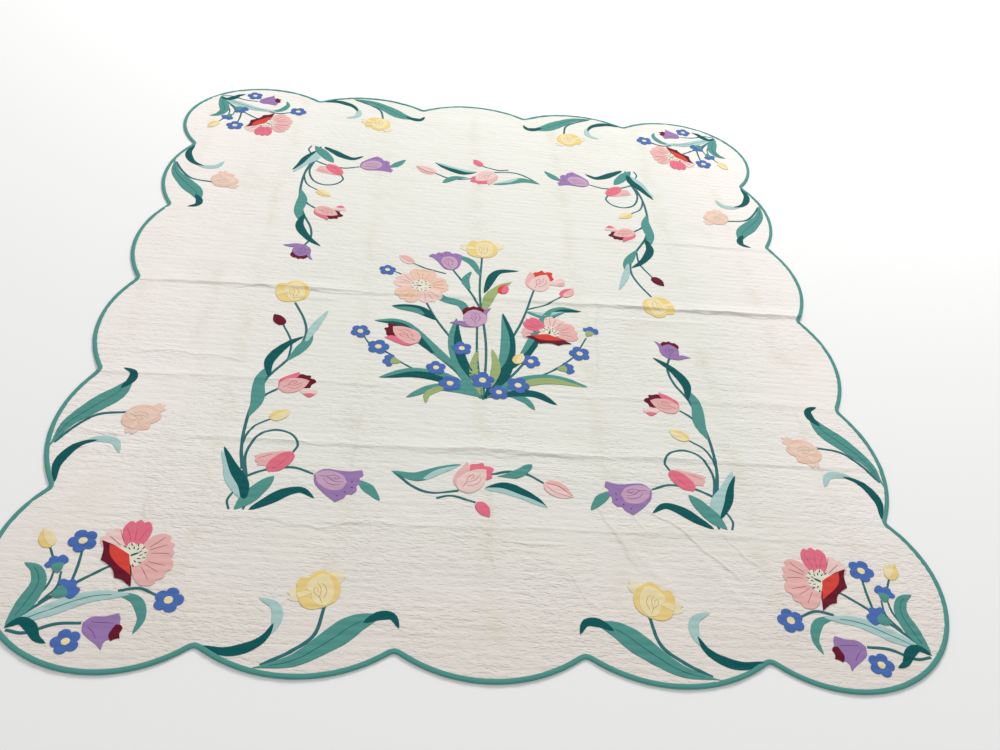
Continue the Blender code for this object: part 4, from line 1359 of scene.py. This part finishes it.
HALF_FLOWER = (
    ((0.40, 0.22), (0.42, 0.44), (0.62, 0.54), (0.76, 0.36)),
    ((0.76, 0.36), (0.94, 0.30), (1.0, 0.10), (0.90, -0.04)),
    ((0.90, -0.04), (0.98, -0.24), (0.80, -0.42), (0.54, -0.46), (0.40, -0.22)),
    ((0.40, -0.22), (0.40, 0.22)),
)
CALYX = (
    ((0.0, 0.0), (0.16, 0.18), (0.50, 0.28)),
    ((0.50, 0.28), (0.58, 0.0), (0.50, -0.28)),
    ((0.50, -0.28), (0.18, -0.18), (0.0, 0.0)),
)


def half_flower(base, heading, size=0.048, level=3, calyx="leaf_green"):
    """A blue flower seen from the side, in its green calyx."""
    return [
        shape(HALF_FLOWER, base, heading, size, "blue", level),
        shape(CALYX, base, heading, size, calyx, level + 1),
    ]


print("blue flowers have", len(blue_flower((0, 0), 0)), "or", len(half_flower((0, 0), 0)), "patches")

# %% [markdown]
# ## Where each spray lies
# The quilt repeats its sprays: one in each corner, one in each lobe next to a corner, four garlands that
# frame the middle, and a small sprig at either end of the frame. Each is drawn once, for the far right
# quarter of the plan, and mirrored into its place, which is what the maker did with paper patterns.

# %% Mirroring
Place = namedtuple("Place", "origin first second")


def placed(patches, place):
    """The patches moved from a place of their own to one on the quilt."""
    axes = np.array((place.first, place.second), float)
    return [patch._replace(outline=np.asarray(place.origin) + patch.outline @ axes) for patch in patches]


def quarters():
    """The name of each quarter, and on which side and at which end it lies."""
    for end, end_name in ((-1, "near"), (1, "far")):
        for side, side_name in ((-1, "left"), (1, "right")):
            yield f"{end_name}_{side_name}", side, end


print("quarters:", [name for name, *_ in quarters()])


# %% Corner sprays
def corner_foliage():
    """Stems and leaves that fan out from the corner."""
    return [
        stem((0.899, 1.076), (0.850, 1.024), (0.815, 0.990), (0.763, 0.948), (0.745, 0.936)),
        stem((0.898, 1.088), (0.862, 1.093), (0.815, 1.073), (0.768, 1.069)),
        *leaf((0.900, 1.082), (0.882, 1.032), (0.872, 0.985), (0.886, 0.952), (0.913, 0.937),
              width=0.034, vein="stem_teal"),
        *leaf((0.900, 1.080), (0.840, 1.046), (0.770, 1.012), (0.696, 1.003),
              width=0.031, cloth="pale_aqua", fullest=0.5, vein="stem_teal"),
        *leaf((0.722, 1.001), (0.682, 1.016), (0.663, 1.054), (0.671, 1.090), width=0.021, level=0),
        *leaf((0.902, 1.084), (0.878, 1.068), (0.856, 1.080), (0.838, 1.104), (0.818, 1.114),
              width=0.021, cloth="dark_teal", fullest=0.5, level=2),
    ]


def corner_small_flowers():
    """Blue flowers and a yellow bud, with their thin stems."""
    return [
        stem((0.812, 0.984), (0.811, 0.940), (0.813, 0.905), width=0.0055),
        stem((0.866, 1.020), (0.853, 0.985), (0.852, 0.950), width=0.0045),
        stem((0.858, 1.028), (0.836, 0.992), (0.838, 0.955), width=0.0045),
        stem((0.720, 0.996), (0.682, 0.989), (0.645, 1.004), width=0.0055, level=2),
        stem((0.862, 0.925), (0.872, 0.906), (0.878, 0.896), width=0.0045),
        *half_flower((0.843, 0.960), 288, 0.044),
        *half_flower((0.840, 1.014), 215, 0.052),
        *blue_flower((0.818, 0.880), 10),
        *blue_flower((0.622, 1.014), 40),
        *blue_flower((0.785, 1.109), 75, 0.027),
        *bud((0.875, 0.900), 300, 0.054, "yellow", "pale_yellow", 3),
    ]


def corner_bloom():
    """A pink bloom with a dark cup."""
    petals = ("blush", "pink", "pale_pink", "pale_pink")
    return open_bloom((0.716, 0.912), 43, 0.083, petals, ("maroon", "red"))


def corner_tulip():
    """A purple tulip that shows its dark inside."""
    return bell_tulip((0.7655, 1.069), 165, 0.065, "purple", lining="maroon")


corner_patches = corner_foliage() + corner_small_flowers() + corner_bloom() + corner_tulip()
print("patches in a corner:", len(corner_patches))


# %% Sew the corner sprays on
for where, side, end in quarters():
    quarter = Place((0, 0), (side, 0), (0, end))
    bloom, tulip = placed(corner_bloom(), quarter), placed(corner_tulip(), quarter)
    sew(f"corner_foliage_{where}", placed(corner_foliage(), quarter), f"corner_leaves_{where}")
    sew(f"corner_small_flowers_{where}", placed(corner_small_flowers(), quarter), None)
    sew(f"corner_open_bloom_{where}", bloom, f"corner_bloom_{where}")
    sew(f"corner_purple_tulip_{where}", tulip, f"corner_tulip_{where}")


# %% Lobe sprays, drawn along the edge and inwards
def lobe_foliage():
    """A stem, one big leaf with a dark tip and a small pair of leaves."""
    return [
        stem((-0.060, -0.036), (-0.008, -0.006), (0.032, 0.032), (0.045, 0.096), width=0.0072),
        *leaf((-0.076, -0.043), (0.000, -0.024), (0.062, 0.020), (0.108, 0.058), (0.158, 0.079),
              width=0.047, fullest=0.64, vein="stem_teal"),
        *leaf((0.122, 0.060), (0.152, 0.077), (0.178, 0.076), (0.192, 0.050),
              width=0.020, cloth="dark_teal", level=2),
        *leaf((-0.174, 0.000), (-0.125, -0.010), (-0.082, 0.004), (-0.058, 0.026), (-0.047, 0.054),
              width=0.021, cloth="dark_teal", fullest=0.48, level=2),
        *leaf((-0.064, 0.018), (-0.044, 0.050), (-0.048, 0.090), (-0.084, 0.110),
              width=0.021, cloth="pale_aqua", fullest=0.56),
    ]


def lobe_tulip(body, front, loose, size):
    """The round tulip of a lobe."""
    return round_tulip((0.044, 0.092), 106, size, body, front, flares=loose)


for where, side, end in quarters():
    end_lobe = Place((side * LOBE, end * HALF_LENGTH), (-side, 0), (0, -end))
    side_lobe = Place((side * (HALF_WIDTH - 0.006), end * 1.5 * LOBE), (0, -end), (-side, 0))
    for kind, place, dyes, slot in (
        ("end", end_lobe, ("yellow", "pale_yellow", "straw", 0.086), "yellow_cloth"),
        ("side", side_lobe, ("peach", "pale_peach", "pale_peach", 0.080), "peach_cloth"),
    ):
        foliage, flower = placed(lobe_foliage(), place), placed(lobe_tulip(*dyes), place)
        sew(f"{kind}_lobe_foliage_{where}", foliage, f"{kind}_lobe_leaves_{where}")
        sew(f"{kind}_lobe_flower_{where}", flower, f"{kind}_lobe_tulip_{where}")

# %% [markdown]
# ## Garlands and sprigs
# A garland is one wavy vine with leaves to both sides, and flowers that hang into the frame. The two
# garlands that meet at the middle of a side differ: one ends in a yellow tulip beside a dark bud, the
# other in a purple tulip.

# %% Garland foliage
VINE = ((0.530, 0.745), (0.531, 0.690), (0.552, 0.600), (0.552, 0.480), (0.531, 0.377))
LONG_END = ((0.488, 0.295), (0.464, 0.240), (0.456, 0.185), (0.469, 0.130), (0.499, 0.066))
SHORT_END = ((0.500, 0.300), (0.493, 0.245), (0.507, 0.200))
VINE_WIDTH = 0.007
# The two leaves beside the vine, outer one first, in a long garland and in a short one.
LONG_PAIR = (
    {"width": 0.023, "cloth": "pale_aqua", "level": 1},
    {"width": 0.025, "cloth": "dark_teal", "level": 3},
)
SHORT_PAIR = (
    {"width": 0.018, "cloth": "dark_teal", "level": 3},
    {"width": 0.032, "cloth": "pale_aqua", "level": 1},
)


def garland_foliage(long):
    """The vine, the stems of its flowers and the leaves."""
    outer, inner = LONG_PAIR if long else SHORT_PAIR
    patches = [
        stem((0.531, 0.690), (0.487, 0.666), (0.431, 0.656), (0.384, 0.672)),
        stem((0.526, 0.694), (0.539, 0.625), (0.521, 0.566), (0.486, 0.544), (0.448, 0.554),
             (0.429, 0.585), (0.437, 0.611), width=0.006),
        stem((0.552, 0.476), (0.525, 0.430), (0.498, 0.405)),
        stem((0.549, 0.784), (0.556, 0.757), (0.541, 0.722), width=0.005),
        stem((0.520, 0.783), (0.516, 0.758), (0.519, 0.730), width=0.005),
        *leaf((0.552, 0.506), (0.541, 0.450), (0.545, 0.385), (0.533, 0.326), width=0.032, fullest=0.5),
        *leaf((0.525, 0.368), (0.532, 0.305), (0.502, 0.245), (0.460, 0.204),
              width=0.025, cloth="dark_teal", level=2),
        *leaf((0.530, 0.752), (0.557, 0.706), (0.575, 0.656), (0.593, 0.618), **outer),
        *leaf((0.522, 0.754), (0.530, 0.712), (0.555, 0.672), (0.572, 0.640), (0.590, 0.604),
              fullest=0.32, **inner),
        *leaf((0.538, 0.784), (0.502, 0.733), (0.468, 0.684), width=0.036, fullest=0.5, level=2),
        *leaf((0.508, 0.783), (0.470, 0.754), (0.440, 0.731), (0.406, 0.720), (0.374, 0.743),
              width=0.025, cloth="dark_teal", fullest=0.42),
    ]
    if not long:
        return patches + [stem(*VINE, *SHORT_END, width=VINE_WIDTH)]
    return patches + [
        stem(*VINE, *LONG_END, width=VINE_WIDTH),
        stem((0.488, 0.296), (0.489, 0.229), (0.518, 0.161), width=0.0055),
        *leaf((0.490, 0.302), (0.467, 0.262), (0.447, 0.218), (0.446, 0.172), width=0.026, fullest=0.5),
        *leaf((0.453, 0.226), (0.438, 0.166), (0.408, 0.090), width=0.021, cloth="pale_aqua", level=2),
    ]


print("foliage of a garland:", len(garland_foliage(True)), "patches, or", len(garland_foliage(False)))


# %% Garland flowers
def garland_small_flowers(long):
    """A yellow bud, a small leaf, and on a long garland a dark bud."""
    patches = [
        stem((0.541, 0.668), (0.552, 0.600), (0.537, 0.540), (0.500, 0.508), width=0.0055),
        *bud((0.503, 0.510), 215, 0.056, "yellow", "pale_yellow", 3),
        *leaf((0.288, 0.684), (0.262, 0.706), (0.234, 0.742), width=0.024, level=1),
    ]
    if long:
        patches += bud((0.516, 0.164), 305, 0.052, "maroon", "maroon", 3)
    return patches


def garland_middle_tulip():
    """A pink tulip with a dark back petal."""
    return flame_tulip((0.497, 0.404), 202, 0.084, "pale_pink", "pink", "maroon", flare="blush")


for where, side, end in quarters():
    quarter = Place((0, 0), (side, 0), (0, end))
    long = side * end > 0
    if long:
        last = round_tulip((0.499, 0.0625), 282, 0.090, "yellow", "pale_yellow")
    else:
        last = goblet_tulip((0.506, 0.2065), 278, 0.072, "purple", "purple", "maroon")
    flowers = (
        ("side", bell_tulip((0.383, 0.674), 163, 0.098, "purple", front="lilac"), "purple_cloth"),
        ("inner", closed_tulip((0.437, 0.610), 51, 0.078, "pink", "pale_pink"), "pink_cloth"),
        ("end", last, "yellow_cloth" if long else "maroon_cloth"),
    )
    sew(f"garland_foliage_{where}", placed(garland_foliage(long), quarter), f"garland_leaves_{where}")
    sew(f"garland_small_flowers_{where}", placed(garland_small_flowers(long), quarter), None)
    sew(f"garland_middle_flower_{where}", placed(garland_middle_tulip(), quarter), None)
    for kind, patches, slot in flowers:
        sew(f"garland_{kind}_flower_{where}", placed(patches, quarter), f"garland_{kind}_tulip_{where}")


# %% Sprigs
def sprig_foliage():
    """Two stems, three leaves and two pink buds."""
    return [
        stem((-0.206, -0.656), (-0.163, -0.696), (-0.122, -0.712), (-0.062, -0.703)),
        stem((0.012, -0.650), (0.057, -0.640), (0.096, -0.645), (0.134, -0.669)),
        stem((-0.111, -0.727), (-0.075, -0.719), (-0.024, -0.736), width=0.0055),
        *leaf((-0.214, -0.652), (-0.157, -0.667), (-0.105, -0.645), (-0.055, -0.624),
              width=0.027, fullest=0.5, turned="pale_aqua", side=-1, start=0.40),
        *leaf((0.026, -0.656), (0.072, -0.646), (0.110, -0.612), width=0.026, fullest=0.62),
        *leaf((-0.004, -0.695), (0.042, -0.690), (0.090, -0.709), (0.136, -0.740),
              width=0.034, cloth="pale_aqua", turned="dark_teal", side=1),
        *bud((-0.021, -0.734), 302, 0.050, "pink", "pink", 2),
        *bud((0.132, -0.668), 329, 0.077, "pale_pink", "blush", 2, "rose_thread"),
    ]


for where, turn in (("near", 1), ("far", -1)):
    place = Place((0, 0), (turn, 0), (0, turn))
    flower = flame_tulip((-0.061, -0.7020), 44, 0.097, "blush", "pale_pink", "pink")
    sew(f"sprig_foliage_{where}", placed(sprig_foliage(), place), f"sprig_leaves_{where}")
    sew(f"sprig_flower_{where}", placed(flower, place), f"sprig_tulip_{where}")

# %% [markdown]
# ## The bouquet in the middle
# The middle holds the richest spray. Its drawing here is a plain arrangement of the same ordinary
# flowers: stems that fan out from one point, long leaves to both sides, tulips and open blooms at their
# ends, and small blue flowers low down.


# %% Bouquet foliage
def bouquet_foliage():
    """Stems that fan out, and leaves to both sides."""
    return [
        stem((0.000, -0.405), (0.012, -0.200), (0.000, 0.020), (0.010, 0.204)),
        stem((0.000, -0.400), (-0.060, -0.220), (-0.120, -0.100), (-0.155, -0.010)),
        stem((0.005, -0.400), (0.060, -0.220), (0.115, -0.080), (0.156, 0.062)),
        stem((0.004, -0.050), (-0.035, 0.050), (-0.075, 0.132)),
        stem((0.005, -0.400), (0.090, -0.290), (0.150, -0.180)),
        stem((-0.005, -0.400), (-0.080, -0.290), (-0.167, -0.199)),
        *leaf((-0.004, -0.400), (-0.054, -0.280), (-0.070, -0.180), (-0.066, -0.090),
              width=0.044, turned="dark_teal", side=-1, start=0.1),
        *leaf((0.004, -0.400), (0.056, -0.290), (0.072, -0.170), (0.062, -0.055),
              width=0.044, cloth="dark_teal", turned="leaf_green", start=0.3),
        *leaf((-0.006, -0.398), (-0.090, -0.336), (-0.175, -0.318), (-0.260, -0.342),
              width=0.040, fullest=0.5, turned="dark_teal", start=0.2),
        *leaf((0.006, -0.398), (0.092, -0.336), (0.180, -0.314), (0.270, -0.334),
              width=0.040, fullest=0.5, turned="olive", side=-1, start=0.2),
        *leaf((0.006, -0.060), (0.030, 0.020), (0.060, 0.065), (0.094, 0.092), width=0.029, cloth="olive"),
        *leaf((-0.118, -0.104), (-0.168, -0.062), (-0.242, -0.052),
              width=0.032, cloth="dark_teal", fullest=0.5, turned="leaf_green", start=0.25),
        *leaf((-0.002, -0.396), (-0.022, -0.300), (-0.010, -0.215), width=0.026, cloth="olive", level=2),
        *leaf((-0.030, -0.330), (-0.120, -0.230), (-0.205, -0.130), (-0.285, -0.118),
              width=0.034, cloth="leaf_green", fullest=0.6, turned="dark_teal", start=0.35),
        *leaf((0.030, -0.330), (0.110, -0.230), (0.200, -0.040), (0.285, -0.020),
              width=0.036, cloth="dark_teal", fullest=0.62, turned="leaf_green", start=0.2),
        *leaf((-0.030, -0.120), (-0.050, -0.030), (-0.110, 0.000), (-0.130, 0.090), width=0.026),
        *leaf((0.012, 0.030), (0.050, 0.130), (0.118, 0.150), width=0.024, cloth="dark_teal"),
        *leaf((0.004, 0.110), (-0.026, 0.180), (-0.100, 0.215), width=0.022),
        *leaf((0.020, -0.360), (0.036, -0.280), (0.028, -0.210), width=0.024, cloth="olive", level=3),
        *leaf((-0.060, -0.350), (-0.132, -0.388), (-0.142, -0.428), width=0.020, cloth="olive", fullest=0.6),
        *leaf((0.050, -0.380), (0.104, -0.398), (0.128, -0.432), width=0.020, fullest=0.6),
        *leaf((0.010, -0.396), (0.120, -0.372), (0.185, -0.408), width=0.026, cloth="dark_teal", fullest=0.6),
        *leaf((-0.010, -0.396), (-0.110, -0.368), (-0.190, -0.410), width=0.026, fullest=0.6),
    ]


print("foliage of the bouquet:", len(bouquet_foliage()), "patches")


# %% Small flowers of the bouquet
def bouquet_small_flowers():
    """Blue flowers, buds and one small tulip, with their thin stems."""
    return [
        stem((0.020, -0.370), (0.170, -0.290), (0.250, -0.215), width=0.0050),
        stem((-0.020, -0.370), (-0.180, -0.300), (-0.255, -0.235), width=0.0050),
        stem((0.020, -0.380), (0.060, -0.300), (0.088, -0.262), width=0.0050),
        stem((-0.095, 0.112), (-0.150, 0.130), (-0.190, 0.153), width=0.0050),
        stem((0.130, -0.030), (0.190, 0.000), (0.235, 0.040), width=0.0050),
        *blue_flower((0.000, -0.335), 12, 0.031, 4),
        *blue_flower((-0.082, -0.352), 40, 0.029, 4),
        *blue_flower((0.090, -0.345), 66, 0.030, 4),
        *blue_flower((-0.118, -0.296), 22, 0.026, 4),
        *blue_flower((0.128, -0.250), 50, 0.026, 4),
        *blue_flower((0.262, -0.205), 35),
        *blue_flower((-0.268, -0.226), 5),
        *blue_flower((-0.052, -0.215), 30, 0.027, 4),
        *blue_flower((0.040, -0.376), 25, 0.026, 5),
        *blue_flower((-0.318, -0.168), 62, 0.026, 4),
        *blue_flower((-0.262, 0.112), 15, 0.024, 4),
        stem((-0.225, -0.258), (-0.286, -0.220), (-0.314, -0.172), width=0.0045),
        stem((-0.205, 0.086), (-0.235, 0.104), (-0.258, 0.111), width=0.0045),
        *half_flower((0.290, -0.130), 60, 0.044, 3, "olive"),
        stem((0.166, -0.294), (0.240, -0.225), (0.288, -0.135), width=0.0045),
        stem((-0.003, -0.394), (-0.012, -0.250), (-0.010, -0.118), width=0.0060, level=2),
        *goblet_tulip((-0.010, -0.124), 96, 0.088, "purple", "lilac", "maroon", 4),
        *bud((0.060, 0.030), 70, 0.052, "red", "pink", 4),
        *half_flower((0.196, -0.272), 8, 0.046, 3, "olive"),
        *half_flower((-0.208, -0.282), 168, 0.046, 3, "olive"),
        *bud((0.086, -0.264), 62, 0.050, "yellow", "pale_yellow", 5),
        *bud((-0.188, 0.152), 140, 0.056, "blush", "pale_pink", 3),
        *bud((0.233, 0.038), 48, 0.060, "pink", "pale_pink", 3),
        *leaf((-0.028, 0.040), (-0.040, 0.085), (-0.022, 0.130), width=0.022),
        *leaf((0.128, -0.040), (0.180, -0.052), (0.238, -0.030), width=0.026, turned="pale_aqua"),
    ]


print("small flowers of the bouquet:", len(bouquet_small_flowers()), "patches")

# %% Bouquet flowers
PEACH_PETALS = ("peach", "peach", "blush", "peach", "blush")
PINK_PETALS = ("pale_pink", "pink", "blush", "pale_pink")
BOUQUET_FLOWERS = {
    "top_tulip": (
        round_tulip((0.010, 0.200), 84, 0.092, "yellow", "pale_yellow", flares="straw"),
        "yellow_cloth",
    ),
    "left_bloom": (
        open_bloom((-0.165, 0.045), 10, 0.078, PEACH_PETALS, (), "gold_thread"),
        "pale_pink_cloth",
    ),
    "right_tulip": (
        flame_tulip((0.155, 0.060), 60, 0.100, "blush", "pale_pink", "red", flare="blush"),
        "pink_cloth",
    ),
    "upper_tulip": (
        bell_tulip((-0.075, 0.130), 110, 0.088, "purple", front="lilac"),
        "purple_cloth",
    ),
    "low_bloom": (
        open_bloom((0.185, -0.130), 268, 0.076, PINK_PETALS, ("maroon", "red")),
        "pink_cloth",
    ),
    "low_tulip": (
        flame_tulip((-0.165, -0.200), 138, 0.100, "pale_pink", "pink", "maroon"),
        "peach_cloth",
    ),
}

sew("bouquet_foliage", bouquet_foliage(), "bouquet_leaves")
sew("bouquet_small_flowers", bouquet_small_flowers(), None)
for kind, (patches, slot) in BOUQUET_FLOWERS.items():
    sew(f"bouquet_{kind}_petals", patches, f"bouquet_{kind}")

# %% [markdown]
# ## Floor
# The floor is only there to catch the light.

# %% Floor
FLOOR_HALF = 9.0
FLOOR_COLOUR = (0.97, 0.97, 0.97, 1.0)
FLOOR_ROUGH = 0.95
floor_material = bpy.data.materials.new("pale_floor")
floor_material.use_nodes = True
floor_shader = floor_material.node_tree.nodes["Principled BSDF"]
floor_shader.inputs["Base Color"].default_value = FLOOR_COLOUR
floor_shader.inputs["Roughness"].default_value = FLOOR_ROUGH
floor_corners = [(FLOOR_HALF * a, FLOOR_HALF * b, 0.0) for a, b in ((-1, -1), (1, -1), (1, 1), (-1, 1))]
floor = cloth_piece("floor", floor_corners, [(0, 1, 2, 3)], [floor_material])
print("a floor of", 2 * FLOOR_HALF, "m each way")
